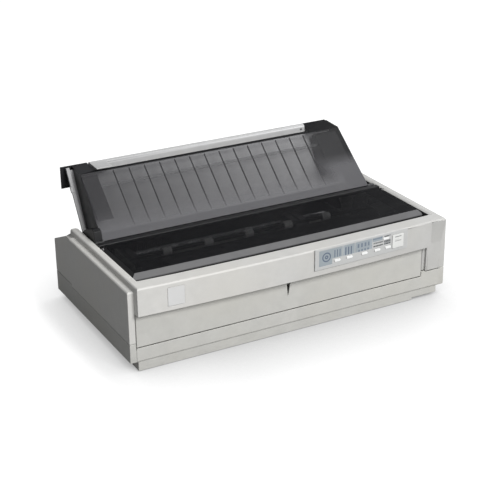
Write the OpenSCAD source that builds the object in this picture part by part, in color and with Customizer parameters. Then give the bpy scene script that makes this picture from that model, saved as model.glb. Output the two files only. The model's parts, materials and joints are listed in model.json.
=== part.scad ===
// Wide-carriage dot matrix printer with a smoked printer cover, a raised
// paper guide, a fold-down front door and a full printing mechanism.
// X runs along the carriage (the operator's right is +X), Y runs from the
// front to the back, Z is up and the feet stand on Z = 0.

/* [Case] */
// Width over the two side cheeks
case_width = 600; // [560:1:740]
// Front of the cheeks to the rear wall
case_depth = 325; // [315:1:420]
// Height of the rim and the front deck
deck_height = 149.5; // [148:0.5:190]
// Thickness of the moulded walls
wall = 3; // [2:0.5:4]
// Thickness of each side cheek
cheek_thickness = 11; // [8:0.5:16]
// How far the cheeks stay below the deck
cheek_drop = 9; // [5:0.5:20]
// Depth of the cheeks, where the rear section starts
cheek_depth = 245; // [235:1:260]
// Height of the parting line between lower and upper case
parting_height = 51.5; // [49:0.5:56]
// Height of the inset plinth under the case
plinth_height = 18; // [14:0.5:20]
// Inset of the plinth from the cheeks
plinth_inset = 14; // [10:1:20]
// Height of the rear wall
rear_height = 111; // [108:1:120]
// Height at which the sloped rear sides start
rear_slope_height = 137; // [125:1:140]
// Distance of the slope's start from the rear wall
rear_slope_run = 59; // [40:1:70]
// Edge chamfer on the case
case_chamfer = 2; // [0.5:0.5:2.5]

/* [Front] */
// How far the upper front panel stands before the cheeks at its ends
panel_overhang = 13; // [8:0.5:16]
// How much the upper front panel bows forward in the middle
panel_bow = 7; // [1:0.5:9]
// Height of the lower edge of the upper front panel
panel_bottom = 102; // [95:1:106]
// Height of the door's lower edge
door_bottom = 44.5; // [40:0.5:46]
// Thickness of the door
door_thickness = 3; // [2.5:0.5:4]
// Distance of the door's right end from the right cheek
door_right_gap = 39; // [30:1:60]
// Width of the pillar at the right of the door
pillar_width = 30; // [24:1:36]
// Place of the pull notch, from the door's middle
pull_offset = 4; // [-20:1:20]
// Width of the pull notch
pull_width = 9; // [6:0.5:14]
// Height of the pull notch
pull_height = 32; // [20:1:38]

/* [Printer cover] */
// Width of the rim beside the cover opening
rim_width = 9; // [6:0.5:14]
// Width of the bevel inside the rim
rim_bevel = 5; // [3:0.5:7]
// Front edge of the cover opening
opening_front = 13.5; // [10:0.5:20]
// Front edge of the cover
cover_front = 33.5; // [28:0.5:40]
// Width of the bevelled lip along the cover's front
lip_width = 9; // [6:0.5:10]
// Height of the cover's side walls
cover_height = 12; // [11:0.5:14]
// Thickness of the covers
cover_wall = 2.5; // [2:0.5:3]
// Gap between the cover and the opening
cover_gap = 1; // [0.5:0.5:2]
// Radius of the cover hinge pins
hinge_pin_radius = 2; // [1.5:0.25:2.5]
// Radial clearance of pins, shafts and bushes
running_fit = 0.05; // [0.02:0.01:0.1]

/* [Paper guide] */
// Depth of the bar between the printer cover and the paper guide
bar_depth = 12; // [10:0.5:13]
// Rear edge of the printer cover
cover_rear = 168; // [165:0.5:170]
// Free slot for a single sheet behind the bar
sheet_slot = 5; // [4.5:0.5:7]
// Length of the raised guide's face
guide_length = 129; // [110:1:135]
// Angle of the raised guide's face above level
guide_angle = 40.5; // [35:0.5:45]
// Half width of the guide at its foot
guide_foot_half = 261.5; // [250:0.5:264]
// Half width of the guide at its top
guide_top_half = 256.5; // [245:0.5:260]
// Left end of the notch in the guide's top edge, from the middle
notch_left = 227; // [200:1:235]
// Right end of the notch in the guide's top edge, from the middle
notch_right = 202; // [190:1:235]
// Angle of the frame behind the guide
frame_angle = 57; // [54:0.5:60]
// Distance between the ribs on the guide
rib_pitch = 29; // [24:0.5:36]
// Number of ribs on the guide
rib_count = 14; // [6:1:14]
// Width of each rib
rib_width = 1.2; // [0.8:0.1:2]
// Width of the left edge guide
edge_guide_width = 28; // [20:1:28]
// Width of the right edge guide
right_guide_width = 46; // [28:1:50]

/* [Control panel] */
// Left end of the control panel, from the middle
bezel_left = 21; // [10:1:40]
// Length of the control panel
bezel_length = 186; // [180:1:200]
// Height of the control panel
bezel_height = 36; // [35:0.5:38]
// Distance of the button row above the panel's lower edge
button_row = 10.5; // [10:0.5:12]
// Distance of the first button from the panel's left end
button_1_left = 43; // [40:0.5:48]
// Distance from the first to the second button
button_2_step = 24; // [20:0.5:26]
// Distance from the second to the third button
button_3_step = 30; // [24:0.5:31]
// Distance from the third to the fourth button
button_4_step = 26; // [20:0.5:27]
// Distance from the fourth to the fifth button
button_5_step = 22; // [18:0.5:22.5]
// Length of a pill shaped button
button_length = 12; // [9:0.5:13]
// Height of a pill shaped button
button_height = 4.4; // [4:0.2:6]
// Travel of the buttons
button_travel = 1; // [0.6:0.1:1.5]
// Clearance around each button
button_gap = 0.4; // [0.2:0.05:0.5]

/* [Platen and paper feed] */
// Radius of the rubber platen
platen_radius = 18; // [16:0.5:21]
// Half the length of the rubber platen
platen_half = 215; // [200:1:218]
// Distance of the platen's axis behind the cheek front
platen_y = 150; // [146:0.5:154]
// Height of the platen's axis
platen_z = 96; // [92:0.5:99]
// Radius of the platen shaft
platen_shaft_radius = 5; // [4:0.25:6]
// Radius of the hand knob
knob_radius = 19; // [15:0.5:24]
// Width of the hand knob
knob_width = 18; // [14:0.5:24]
// Radius of the bail rollers
bail_roller_radius = 7; // [6:0.25:8]
// Number of bail rollers
bail_roller_count = 5; // [3:1:5]
// Distance between the bail rollers
bail_roller_pitch = 78; // [60:1:82]
// Gap between neighbouring curved faces that roll past each other
rolling_gap = 0.3; // [0.2:0.05:0.5]
// Distance of the tractor pins' centres from the middle, left side
tractor_left_x = 190; // [150:1:195]
// Distance of the tractor pins' centres from the middle, right side
tractor_right_x = 150; // [130:1:195]
// Width of each tractor
tractor_width = 27; // [22:0.5:32]

/* [Carriage] */
// Radius of the carriage shaft
carriage_shaft_radius = 6; // [5:0.25:7]
// Radius of the front guide rod
guide_rod_radius = 4; // [3:0.25:4.5]
// Width of the carriage
carriage_width = 70; // [60:1:80]
// Place of the carriage along X, from the middle
carriage_x = -120; // [-165:1:165]
// Width of the ribbon cartridge
cartridge_width = 124; // [110:1:128]
// Gap between the print head's nose and the platen
head_gap = 1.2; // [0.8:0.1:2]

/* [Hidden] */
$fn = 48;
big_fn = 720;
eps = 0.01;

// Colours
case_grey = [0.84, 0.84, 0.81];
guide_grey = [0.88, 0.88, 0.86];
smoke = [0.28, 0.28, 0.30];
dark_plastic = [0.16, 0.16, 0.17];
rubber_black = [0.09, 0.09, 0.10];
steel = [0.70, 0.71, 0.72];
zinc = [0.62, 0.64, 0.64];
board_green = [0.16, 0.38, 0.24];
legend_blue = [0.60, 0.65, 0.71];

// Case, derived
half_width = case_width / 2;
block_half = half_width - cheek_thickness;
rear_inset = 3;
rear_half = half_width - rear_inset;
plinth_half = half_width - plinth_inset;
cheek_height = deck_height - cheek_drop;
slope_start = case_depth - rear_slope_run;
rim_end = slope_start - 4;
opening_half = block_half - rim_width;
skirt_half = opening_half - rim_bevel;
skirt_wall = 3;
skirt_bottom = 122;
bevel_drop = 2.5;
front_mid_y = -panel_overhang - panel_bow;
front_radius = (block_half * block_half + panel_bow * panel_bow) / (2 * panel_bow);
opening_bow = 4;
opening_radius = (opening_half * opening_half + opening_bow * opening_bow) / (2 * opening_bow);
cover_bow = 3;

// Lower case, derived
skirt_clearance = 1;
floor_bottom = 4;
floor_top = floor_bottom + wall;
foot_radius = 9;
foot_inset = 45;
foot_front = 30;
foot_rear = case_depth - 30;
plinth_front = 1.5;
plinth_rear = case_depth - 7;
plinth_notch_width = 51;
plinth_notch_rise = 3.5;
rear_bottom = 14;
recess_floor = door_bottom - 4.5;
strip_top = door_bottom - 1.7;
strip_lip = 1.2;
recess_back = 14;

// Door, derived
door_front = -1.5;
door_gap = 0.5;
door_left_end = -block_half + door_gap;
door_right_end = half_width - door_right_gap - 11 - door_gap;
jamb_left = door_right_end + 2 * door_gap;
pillar_left = block_half - pillar_width;
pillar_brow_y = -panel_overhang - 1.5;
pillar_brow_z = deck_height - bevel_drop;
pillar_knee_y = -3;
jamb_step = 3.5;
jamb_inset = 5;
door_axis_y = door_front + 3;
door_axis_z = door_bottom + 2;
door_pin_radius = 1;
door_pin_length = 4;
door_roll_radius = 2;
front_slot_half = 190;
seat_gap = 0.05;
front_slot_bottom = 54;
front_slot_height = 8;

// Printer cover, derived
cover_half = skirt_half - cover_gap;
cover_top = deck_height + 0.5;
cover_bottom = cover_top - cover_height;
cover_radius = (cover_half * cover_half + cover_bow * cover_bow) / (2 * cover_bow);
cover_axis_y = cover_rear - 7.5;
cover_axis_z = cover_top - 4;
cover_ear_radius = 4;
ledge_length = 12;

// Hinge bar and guide, derived
bar_front = cover_rear + 1.8;
bar_rear = bar_front + bar_depth;
bar_thickness = 6;
guide_foot_y = bar_rear + sheet_slot;
guide_foot_z = deck_height - 0.5;
guide_axis_y = guide_foot_y + 3;
guide_axis_z = guide_foot_z - 3.5;
guide_top_y = guide_foot_y + guide_length * cos(guide_angle);
guide_top_z = guide_foot_z + guide_length * sin(guide_angle);
guide_depth = 40.5;
crown_y = guide_top_y + guide_depth;
crown_z = guide_top_z + 3.5;
frame_drop = 104;
frame_foot_y = crown_y - 2 - frame_drop / tan(frame_angle);
frame_foot_z = crown_z - frame_drop;
frame_plate = 3;
crown_s = frame_drop / sin(frame_angle);
frame_strip = 7;
strip_thickness = 3;
flap_gap = 2.5;
flap_drop = 39;
flap_reach = 19.5;
crown_ledge = 7;
rail_radius = 3;
top_bar_height = 18;
top_bar_depth = 13;
end_block = 30;
edge_guide_outer = 253;
rib_first = -notch_left + 31;
rib_depth = 3;

// Control panel, derived
bezel_right = bezel_left + bezel_length;
bezel_top = deck_height;
bezel_bottom = bezel_top - bezel_height;
bezel_proud_left = 3;
bezel_proud_right = 0.8;
bezel_front = front_y(bezel_left) - bezel_proud_left;
bezel_bow_x = -(bezel_proud_left - bezel_proud_right) * front_radius / bezel_length;
bezel_plate = 2.4;
bezel_back = bezel_front + 4;
window_gap = 0.5;
box_inset = 3.5;
box_depth = 12;
box_wall = 1.5;
button_z = bezel_bottom + button_row;
button_upper_rise = 17;
button_proud = 1.2;
button_flange = 1;
flange_edge = 0.8;
flat_gap = 0.03;
pause_gap = 3.5;
pause_size = 23;
pause_low = bezel_bottom + 6;
pause_high = pause_low + 23.5;
legend_thickness = 0.8;
legend_left = bezel_left + 8;
legend_gap = 1.5;
legend_low = button_z + button_height / 2 + 2.5;
legend_high = bezel_top - 3;
legend_1_right = button_x(0) + 10;
legend_2_right = button_x(1) + 10;
legend_3_right = button_x(2) + 15;
legend_4_right = button_x(4) + 5;
lamp_left = legend_3_right + 3;
lamp_right = button_x(4) - 10;
lamp_height = 2.4;
lamp_pitch = 5.6;
lamp_low = legend_low + 1;

function button_x(i) = bezel_left + button_1_left
  + (i > 0 ? button_2_step : 0)
  + (i > 1 ? button_3_step : 0)
  + (i > 2 ? button_4_step : 0)
  + (i > 3 ? button_5_step : 0)
  - (i > 4 ? 4.3 : 0);

function button_level(i) = button_z + (i > 4 ? button_upper_rise : 0);

function bow_drop(x) = front_radius - sqrt(front_radius * front_radius - x * x);

// Front of the upper front panel, and of the control panel, at x
function front_y(x) = front_mid_y + bow_drop(x);

function bezel_y(x) = bezel_front - bow_drop(bezel_left - bezel_bow_x) + bow_drop(x - bezel_bow_x);

// Mechanism, derived
floor_boss = 3;
tray_bottom = floor_top + floor_boss;
sheet = 1.5;
tray_top = tray_bottom + sheet;
side_inner = half_width - 64;
screw_x = side_inner + 8;
side_sheet = 2;
side_outer = side_inner + side_sheet;
tray_half = side_outer + 12;
tray_front = 22;
tray_rear = case_depth - 12;
gear_gap = 5;
gear_width = 7;
gear_near = side_outer + gear_gap;
gear_far = gear_near + gear_width;
tooth_depth = 2;
mesh_gap = 0.3;
platen_gear_teeth = 46;
idler_gear_teeth = 30;
pinion_teeth = 14;
platen_pitch = 24;
idler_pitch = 16;
pinion_pitch = 8;
idler_a_y = platen_y + (platen_pitch + idler_pitch) * cos(45);
idler_a_z = platen_z - (platen_pitch + idler_pitch) * sin(45);
idler_b_y = idler_a_y + 2 * idler_pitch * cos(14.5);
idler_b_z = idler_a_z - 2 * idler_pitch * sin(14.5);
tractor_y = idler_b_y + 2 * idler_pitch * cos(12);
tractor_z = idler_b_z + 2 * idler_pitch * sin(12);
pinion_z = idler_a_z - idler_pitch - pinion_pitch;
vent_count = 18;
vent_pitch = 7;
vent_width = 2.5;
vent_height = 12;
vent_bottom = parting_height + 6;
gear_post_radius = 3;
feed_motor_radius = 19;
feed_motor_length = 30;
shaft_overhang = 2;
knob_near = half_width + 3;
knob_far = knob_near + knob_width;
knob_hub_radius = 7;

// Bail, derived
bail_angle = 70;
bail_reach = platen_radius + bail_roller_radius + rolling_gap;
bail_y = platen_y + bail_reach * cos(bail_angle);
bail_z = platen_z + bail_reach * sin(bail_angle);
bail_shaft_radius = 3;
bail_pivot_y = platen_y + 36;
bail_pivot_z = platen_z + 4;
bail_arm = 2;
bail_arm_gap = 5;
bail_roller_width = 16;
bail_first = -4 - bail_roller_pitch * (bail_roller_count - 1) / 2;

// Carriage, derived
carriage_shaft_y = platen_y - 58;
carriage_shaft_z = 62;
rod_y = carriage_shaft_y - 46;
rod_z = carriage_shaft_z + 8;
pulley_y = carriage_shaft_y - 43;
pulley_radius = 8;
belt_gap = 0.3;
belt_thickness = 1.2;
belt_height = 8;
belt_bottom = carriage_shaft_z - 10;
pulley_x = side_inner - 22;
carriage_bottom = carriage_shaft_z - 12;
carriage_top = carriage_shaft_z + 18;
carriage_front = carriage_shaft_y - 24;
carriage_rear = carriage_shaft_y + 24;
bracket_top = carriage_top + 30;
nose_tip = platen_y - platen_radius - head_gap;
carriage_motor_radius = 20;

// Tractors, derived
tractor_rail_radius = 5;
tractor_span = 44;
tractor_rail_y = tractor_y + tractor_span;
tractor_body_radius = 13;
tractor_top = tractor_z + tractor_body_radius;
gate_gap = 0.7;
gate_thickness = 3;
gate_axis_z = tractor_top + gate_gap + gate_thickness / 2;
gate_pin_radius = 1;
gate_knuckle = 2;

// Electronics, derived
board_bottom = tray_top + 8.5;
board_thickness = 1.6;
port_x = 95;
port_width = 66;
port_height = 14;
port_bottom = board_bottom + board_thickness;
inlet_x = -(side_inner - 46);
inlet_width = 28;
inlet_height = 22;
inlet_bottom = 24;
supply_front = platen_y + 53;
supply_rear = case_depth - 20;
clip_inset = 4;
clip_lug = 2.5;
clip_wire = 1;
clip_reach = 8;
clip_y = case_depth - 1.5;
switch_y = 42;
switch_z = parting_height + 30;
switch_length = 20;
switch_height = 12;

// The model's own frame: middle of the overall box in X and Y
frame_x = (knob_far - half_width) / 2;
rear_most = max(crown_y + flap_gap + cover_wall, clip_y + clip_reach + clip_wire);
front_most = min(bezel_front, bezel_y(button_x(0)) - button_proud);
frame_y = (rear_most + front_most) / 2;

module framed() {
  translate([-frame_x, -frame_y, 0]) children();
}

// A Y-Z profile, extruded from x0 to x1
module along_x(x0, x1) {
  translate([x0, 0, 0]) rotate([90, 0, 90]) linear_extrude(x1 - x0) children();
}

// An X-Z profile, extruded from y0 to y1
module along_y(y0, y1) {
  translate([0, y1, 0]) rotate([90, 0, 0]) linear_extrude(y1 - y0) children();
}

// A round bar along X
module bar_x(x0, x1, y, z, r) {
  translate([x0, y, z]) rotate([0, 90, 0]) cylinder(r = r, h = x1 - x0);
}

// A round bar along Y
module bar_y(y0, y1, x, z, r) {
  translate([x, y1, z]) rotate([90, 0, 0]) cylinder(r = r, h = y1 - y0);
}

module box(low, high) {
  translate(low) cube(high - low);
}

// A shape and its mirror image on the other side of the middle
module mirrored() {
  children();
  mirror([1, 0, 0]) children();
}

// A flat link between two eyes in the Y-Z plane
link_width = 0.8;

module link_x(x0, x1, a, b, r) {
  run = b - a;
  side = link_width * r / norm(run) * [-run[1], run[0]];
  along_x(x0, x1) {
    translate(a) circle(r = r);
    translate(b) circle(r = r);
    polygon([a + side, b + side, b - side, a - side]);
  }
}

// A prism with a bowed front: all behind a large upright circle
module behind_bow(radius, mid_y, z0, z1, chamfer = 0) {
  translate([0, mid_y + radius, z0]) {
    cylinder(r = radius, h = z1 - z0 - chamfer, $fn = big_fn);
    if (chamfer > 0)
      translate([0, 0, z1 - z0 - chamfer])
        cylinder(r1 = radius, r2 = radius - chamfer, h = chamfer, $fn = big_fn);
  }
}

// A spur gear with tips inside its pitch circle by half the mesh gap
module spur_gear(y, z, pitch, teeth, bore) {
  tip = pitch - mesh_gap / 2;
  root = tip - tooth_depth;
  step = 360 / teeth;
  outline = [for (i = [0 : teeth - 1], k = [0 : 3])
    let (
      r = (k == 0 || k == 3) ? root : tip,
      a = i * step + [0.02, 0.2, 0.5, 0.68][k] * step
    )
    [r * cos(a), r * sin(a)]];
  difference() {
    translate([-gear_far, y, z]) rotate([90, 0, 90]) linear_extrude(gear_width) polygon(outline);
    bar_x(-gear_far - 1, -gear_near + 1, y, z, bore);
  }
}

// ---- case

module rear_profile(inset) {
  polygon([
    [cheek_depth - 5 - inset, parting_height - inset],
    [cheek_depth - 5 - inset, rear_slope_height - inset],
    [slope_start - inset / 4, rear_slope_height - inset],
    [case_depth - inset, rear_height - inset * 0.7],
    [case_depth - inset, parting_height - inset]
  ]);
}

module deck_profile(inset, bottom) {
  polygon([
    [front_mid_y - 5, bottom],
    [front_mid_y - 5, deck_height - inset],
    [rim_end - inset, deck_height - inset],
    [slope_start - inset, rear_slope_height - inset],
    [cheek_depth - 5, rear_slope_height - inset],
    [cheek_depth - 5, bottom]
  ]);
}

module chamfered_section(half, bottom, top, chamfer) {
  polygon([
    [-half, bottom], [-half, top - chamfer], [-half + chamfer, top],
    [half - chamfer, top], [half, top - chamfer], [half, bottom]
  ]);
}

module upper_shell() {
  intersection() {
    along_x(-half_width, half_width)
      polygon([
        [0, parting_height], [0, cheek_height - case_chamfer], [case_chamfer, cheek_height],
        [cheek_depth, cheek_height], [cheek_depth, parting_height]
      ]);
    along_y(-1, cheek_depth + 1)
      chamfered_section(half_width, parting_height, cheek_height, case_chamfer);
  }
  intersection() {
    along_x(-rear_half, rear_half) rear_profile(0);
    box([-half_width, 0, parting_height], [half_width, case_depth, deck_height]);
  }
  intersection() {
    along_x(-block_half, block_half) deck_profile(0, parting_height);
    along_y(front_mid_y - 5, case_depth)
      chamfered_section(block_half, parting_height, deck_height, case_chamfer);
    behind_bow(front_radius, front_mid_y, parting_height, deck_height, case_chamfer);
  }
}

module upper_hollow() {
  box([-half_width + wall, wall, parting_height - 1],
    [half_width - wall, cheek_depth - wall, cheek_height - wall]);
  along_x(-rear_half + wall, rear_half - wall) rear_profile(wall);
  intersection() {
    along_x(-block_half + wall, block_half - wall) deck_profile(wall, parting_height - 1);
    behind_bow(front_radius - wall, front_mid_y + wall, parting_height - 1, deck_height);
  }
}

// Room for the printer cover and, behind it, for the paper guide
module top_opening() {
  intersection() {
    box([-opening_half, 0, rear_height - 20], [opening_half, case_depth - wall - 3, deck_height + 5]);
    behind_bow(opening_radius, opening_front - opening_bow, rear_height - 20, deck_height + 5);
  }
}

module opening_skirts() {
  mirrored() along_y(opening_front, rim_end)
    polygon([
      [skirt_half, skirt_bottom], [skirt_half, deck_height - bevel_drop], [opening_half, deck_height],
      [opening_half + 2, deck_height], [opening_half + 2, deck_height - wall - eps],
      [skirt_half + skirt_wall, deck_height - 2 * wall], [skirt_half + skirt_wall, skirt_bottom]
    ]);
  intersection() {
    box([-opening_half - 1, 0, skirt_bottom], [opening_half + 1, opening_front + 5, deck_height]);
    difference() {
      behind_bow(opening_radius, opening_front - opening_bow - skirt_wall, skirt_bottom, deck_height);
      behind_bow(opening_radius, opening_front - opening_bow, skirt_bottom - 1, deck_height + 1);
    }
  }
  // Inner walls beside the rear well
  mirrored() along_x(opening_half - eps, opening_half + skirt_wall)
    polygon([
      [rim_end - 1, rear_height - 20], [rim_end - 1, rear_slope_height + 2],
      [slope_start, rear_slope_height - 1], [case_depth - wall, rear_height - 1],
      [case_depth - wall, rear_height - 20]
    ]);
  // Ledges that carry the printer cover's front corners
  mirrored() box([skirt_half - 7, cover_front + 3, skirt_bottom + 8],
    [skirt_half + 1, cover_front + 3 + ledge_length, cover_bottom - 0.2]);
}

// The pillar stands nearly upright below the upper front panel
module pillar_profile(inset, back) {
  polygon([
    [pillar_knee_y + inset, panel_bottom + 2], [door_front + inset, parting_height],
    [back, parting_height], [back, panel_bottom + 2]
  ]);
}

// Above it the panel's end slopes back to the pillar
module pillar_brow() {
  along_x(pillar_left - wall, block_half)
    polygon([
      [pillar_brow_y, pillar_brow_z], [pillar_knee_y, panel_bottom + eps],
      [pillar_knee_y + 2 * wall, panel_bottom + eps], [pillar_brow_y + 2 * wall, pillar_brow_z]
    ]);
  intersection() {
    box([pillar_left - wall, front_mid_y - 10, panel_bottom], [pillar_left, 0, pillar_brow_z]);
    behind_bow(front_radius - 1, front_mid_y + 1, panel_bottom, pillar_brow_z);
  }
}

// The recess behind the door
module door_recess() {
  box([-block_half - eps, front_mid_y - 10, 0], [pillar_left, recess_back, panel_bottom]);
}

module recess_walls() {
  corner = [pillar_left + wall, recess_back + wall, panel_bottom + wall];
  intersection() {
    union() {
      box([-block_half, front_mid_y - 10, panel_bottom], corner);
      box([pillar_left, front_mid_y - 10, parting_height], corner);
    }
    behind_bow(front_radius - 1, front_mid_y + 1, parting_height, panel_bottom + wall);
  }
  // Stepped jamb beside the door, and the pillar
  along_x(jamb_left, jamb_left + jamb_step) pillar_profile(jamb_inset + 2, recess_back + 1);
  along_x(jamb_left + jamb_step - eps, pillar_left + eps) pillar_profile(jamb_inset, recess_back + 1);
  along_x(pillar_left, block_half) pillar_profile(0, door_front + wall + 1);
  pillar_brow();
}

// Inner wall over the front sheet slot, snapped in
module slot_wall() {
  low = front_slot_bottom + front_slot_height + wall / 2;
  top = panel_bottom - seat_gap;
  box([-block_half + seat_gap, recess_back, low], [jamb_left - seat_gap, recess_back + wall, top]);
  bar_x(-block_half + seat_gap, jamb_left - seat_gap, recess_back + wall / 2, low, wall / 2);
}

module upper_case() {
  color(case_grey) difference() {
    union() {
      difference() {
        upper_shell();
        upper_hollow();
        top_opening();
        door_recess();
      }
      opening_skirts();
      recess_walls();
      slot_wall();
      switch_cradle();
    }
    // The pillar's front
    along_x(pillar_left, block_half)
      polygon([
        [front_mid_y - 10, pillar_brow_z], [pillar_brow_y, pillar_brow_z],
        [pillar_knee_y, panel_bottom + 2], [door_front, parting_height - 1],
        [front_mid_y - 10, parting_height - 1]
      ]);
    // Window for the control panel's box
    box([bezel_left + box_inset - window_gap, front_mid_y - 5, bezel_bottom + box_inset - window_gap],
      [bezel_right - box_inset + window_gap, 0, bezel_top - box_inset + window_gap]);
    // Pocket for the badge plate
    difference() {
      box([badge_left - 0.3, front_mid_y - 5, badge_bottom - 0.3],
        [badge_left + badge_width + 0.3, 0, badge_bottom + badge_height + 0.3]);
      behind_bow(front_radius - badge_seat, front_mid_y + badge_seat, badge_bottom - 1, deck_height);
    }
    // Hinge holes for the printer cover and the paper guide
    mirrored() for (axis = [[cover_axis_y, cover_axis_z], [guide_axis_y, guide_axis_z]])
      bar_x(skirt_half - 6, skirt_half + 6, axis[0], axis[1], hinge_pin_radius + running_fit);
    // Cooling slots in the rear wall, above the power supply
    for (i = [0 : vent_count - 1])
      box([-side_inner + 10 + i * vent_pitch, case_depth - 2 * wall, vent_bottom],
        [-side_inner + 10 + i * vent_pitch + vent_width, case_depth + 1, vent_bottom + vent_height]);
    // Hole for the hand knob's hub
    bar_x(half_width - 2 * wall, half_width + 1, platen_y, platen_z, knob_hub_radius + 1.5);
    // Hole and pin bore for the power switch
    translate([half_width - switch_depth, switch_y, switch_z - switch_height])
      cylinder(r = switch_pin + running_fit, h = 2 * switch_height);
    box([half_width - wall - 0.1, switch_y - switch_length / 2 - 0.5, switch_z - switch_height / 2 - 0.3],
      [half_width + 1, switch_y + switch_length / 2 + 0.5, switch_z + switch_height / 2 + 0.3]);
  }
}

badge_left = -239;
badge_width = 28.5;
badge_height = 31;
badge_bottom = deck_height - 39.5;
badge_seat = 0.7;
badge_proud = 0.4;

module badge_plate() {
  color(guide_grey) intersection() {
    box([badge_left, front_mid_y - 5, badge_bottom], [badge_left + badge_width, 0, badge_bottom + badge_height]);
    difference() {
      behind_bow(front_radius + badge_proud, front_mid_y - badge_proud, badge_bottom - 1, deck_height);
      behind_bow(front_radius - badge_seat, front_mid_y + badge_seat, badge_bottom - 2, deck_height + 1);
    }
  }
}

module lower_shell() {
  box([-half_width, 0, plinth_height], [half_width, cheek_depth, parting_height]);
  box([-rear_half, cheek_depth - 5, rear_bottom], [rear_half, case_depth, parting_height]);
  box([-block_half, door_front, plinth_height + 2], [jamb_left, door_front + strip_lip, strip_top]);
  box([-block_half, door_front, plinth_height + 2], [jamb_left, 5, recess_floor]);
  box([jamb_left - eps, door_front, plinth_height + 2], [block_half, 5, parting_height]);
  difference() {
    box([-plinth_half, plinth_front, skirt_clearance], [plinth_half, plinth_rear, plinth_height + 1]);
    box([plinth_half - plinth_notch_width, plinth_front - 1, skirt_clearance - 1],
      [plinth_half + 1, plinth_front + plinth_notch_width, skirt_clearance + plinth_notch_rise]);
  }
}

module lower_hollow() {
  top = parting_height + 5;
  box([-plinth_half + wall, plinth_front + wall, floor_top], [plinth_half - wall, plinth_rear - wall, top]);
  box([-half_width + wall, wall, plinth_height + wall], [half_width - wall, cheek_depth - wall, top]);
  box([-rear_half + wall, cheek_depth - 8, plinth_height], [rear_half - wall, case_depth - wall, top]);
  box([-plinth_half + wall, plinth_front + wall, 0], [plinth_half - wall, plinth_rear - wall, floor_bottom]);
}

module lower_case() {
  color(case_grey) difference() {
    union() {
      difference() {
        lower_shell();
        lower_hollow();
        // Room for the door above the front strip
        box([-block_half, door_front + strip_lip, recess_floor], [jamb_left, recess_back, parting_height + 1]);
        box([-block_half, -5, strip_top], [jamb_left, 2, parting_height + 1]);
      }
      // Boss for the door's left pin
      box([-block_half - door_pin_length - 1, 1, recess_floor - 1],
        [-block_half, door_axis_y + 4, parting_height]);
      // Ledge and upstand that close the door recess
      box([-block_half, 0, recess_floor - wall],
        [jamb_left + wall, recess_back + wall, recess_floor]);
      box([-block_half, recess_back, recess_floor - wall],
        [pillar_left + wall, recess_back + wall, parting_height]);
      box([jamb_left, door_front + 1, recess_floor - wall],
        [jamb_left + wall, recess_back + wall, parting_height]);
      for (x = [-screw_x, screw_x], y = [screw_front, screw_rear])
        translate([x, y, floor_top - eps]) cylinder(r = 6, h = floor_boss + eps);
    }
    for (x = [-screw_x, screw_x], y = [screw_front, screw_rear])
      translate([x, y, 0]) cylinder(r = screw_radius + running_fit, h = tray_top);
    parting_groove();
    // Sockets for the door's pins
    bar_x(-block_half - door_pin_length - 0.5, -block_half + 1, door_axis_y, door_axis_z,
      door_pin_radius + running_fit);
    bar_x(jamb_left - 1, jamb_left + door_pin_length + 0.5, door_axis_y, door_axis_z,
      door_pin_radius + running_fit);
    // Rear openings for the inlet and the parallel port
    box([inlet_x - inlet_width / 2 - 0.3, case_depth - 2 * wall, inlet_bottom - 0.3],
      [inlet_x + inlet_width / 2 + 0.3, case_depth + 1, inlet_bottom + inlet_height + 0.3]);
    box([port_x - port_width / 2 - 0.3, case_depth - 2 * wall, port_bottom - 0.3],
      [port_x + port_width / 2 + 0.3, case_depth + 1, port_bottom + port_height + 0.3]);
  }
}

// Narrow groove around the outside, under the upper case
module parting_groove() {
  low = parting_height - groove;
  top = parting_height + 1;
  difference() {
    union() {
      box([-half_width - 1, -1, low], [half_width + 1, cheek_depth + 1, top]);
      box([-half_width - 1, cheek_depth, low], [half_width + 1, case_depth + 1, top]);
      box([pillar_left, door_front - 1, low], [block_half, 0, top]);
    }
    box([-half_width + groove, groove, low - 1], [half_width - groove, cheek_depth + eps, top + 1]);
    box([-rear_half + groove, cheek_depth, low - 1], [rear_half - groove, case_depth - groove, top + 1]);
  }
}

groove = 1.2;
screw_front = 62;
screw_rear = case_depth - 45;
screw_radius = 2;

module chassis_screws() {
  color(steel)
    for (x = [-screw_x, screw_x], y = [screw_front, screw_rear])
      translate([x, y, floor_bottom - 1.6]) {
        cylinder(r = 4, h = 1.6);
        cylinder(r = screw_radius, h = tray_top - floor_bottom + 2.2);
      }
}

module feet() {
  color(rubber_black)
    for (place = [
      [-plinth_half + foot_inset, foot_front], [plinth_half - foot_inset - 25, foot_front],
      [-plinth_half + foot_inset, foot_rear], [plinth_half - foot_inset, foot_rear]
    ])
      translate([place[0], place[1], 0]) cylinder(r = foot_radius, h = floor_bottom);
}

module front_door() {
  middle = (door_left_end + door_right_end) / 2 + pull_offset;
  color(case_grey) difference() {
    union() {
      box([door_left_end, door_front, door_bottom],
        [door_right_end, door_front + door_thickness, panel_bottom - door_gap]);
      bar_x(door_left_end, door_right_end, door_axis_y, door_axis_z, door_roll_radius);
      bar_x(door_left_end - door_pin_length, door_left_end + 1, door_axis_y, door_axis_z, door_pin_radius);
      bar_x(door_right_end - 1, door_right_end + door_pin_length, door_axis_y, door_axis_z,
        door_pin_radius);
    }
    along_y(door_front - 1, door_front + door_thickness + 1)
      polygon([
        [middle - pull_width / 2, panel_bottom], [middle + pull_width / 2, panel_bottom],
        [middle - 1, panel_bottom - pull_height], [middle - 2, panel_bottom - pull_height]
      ]);
  }
}

// ---- covers

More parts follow.
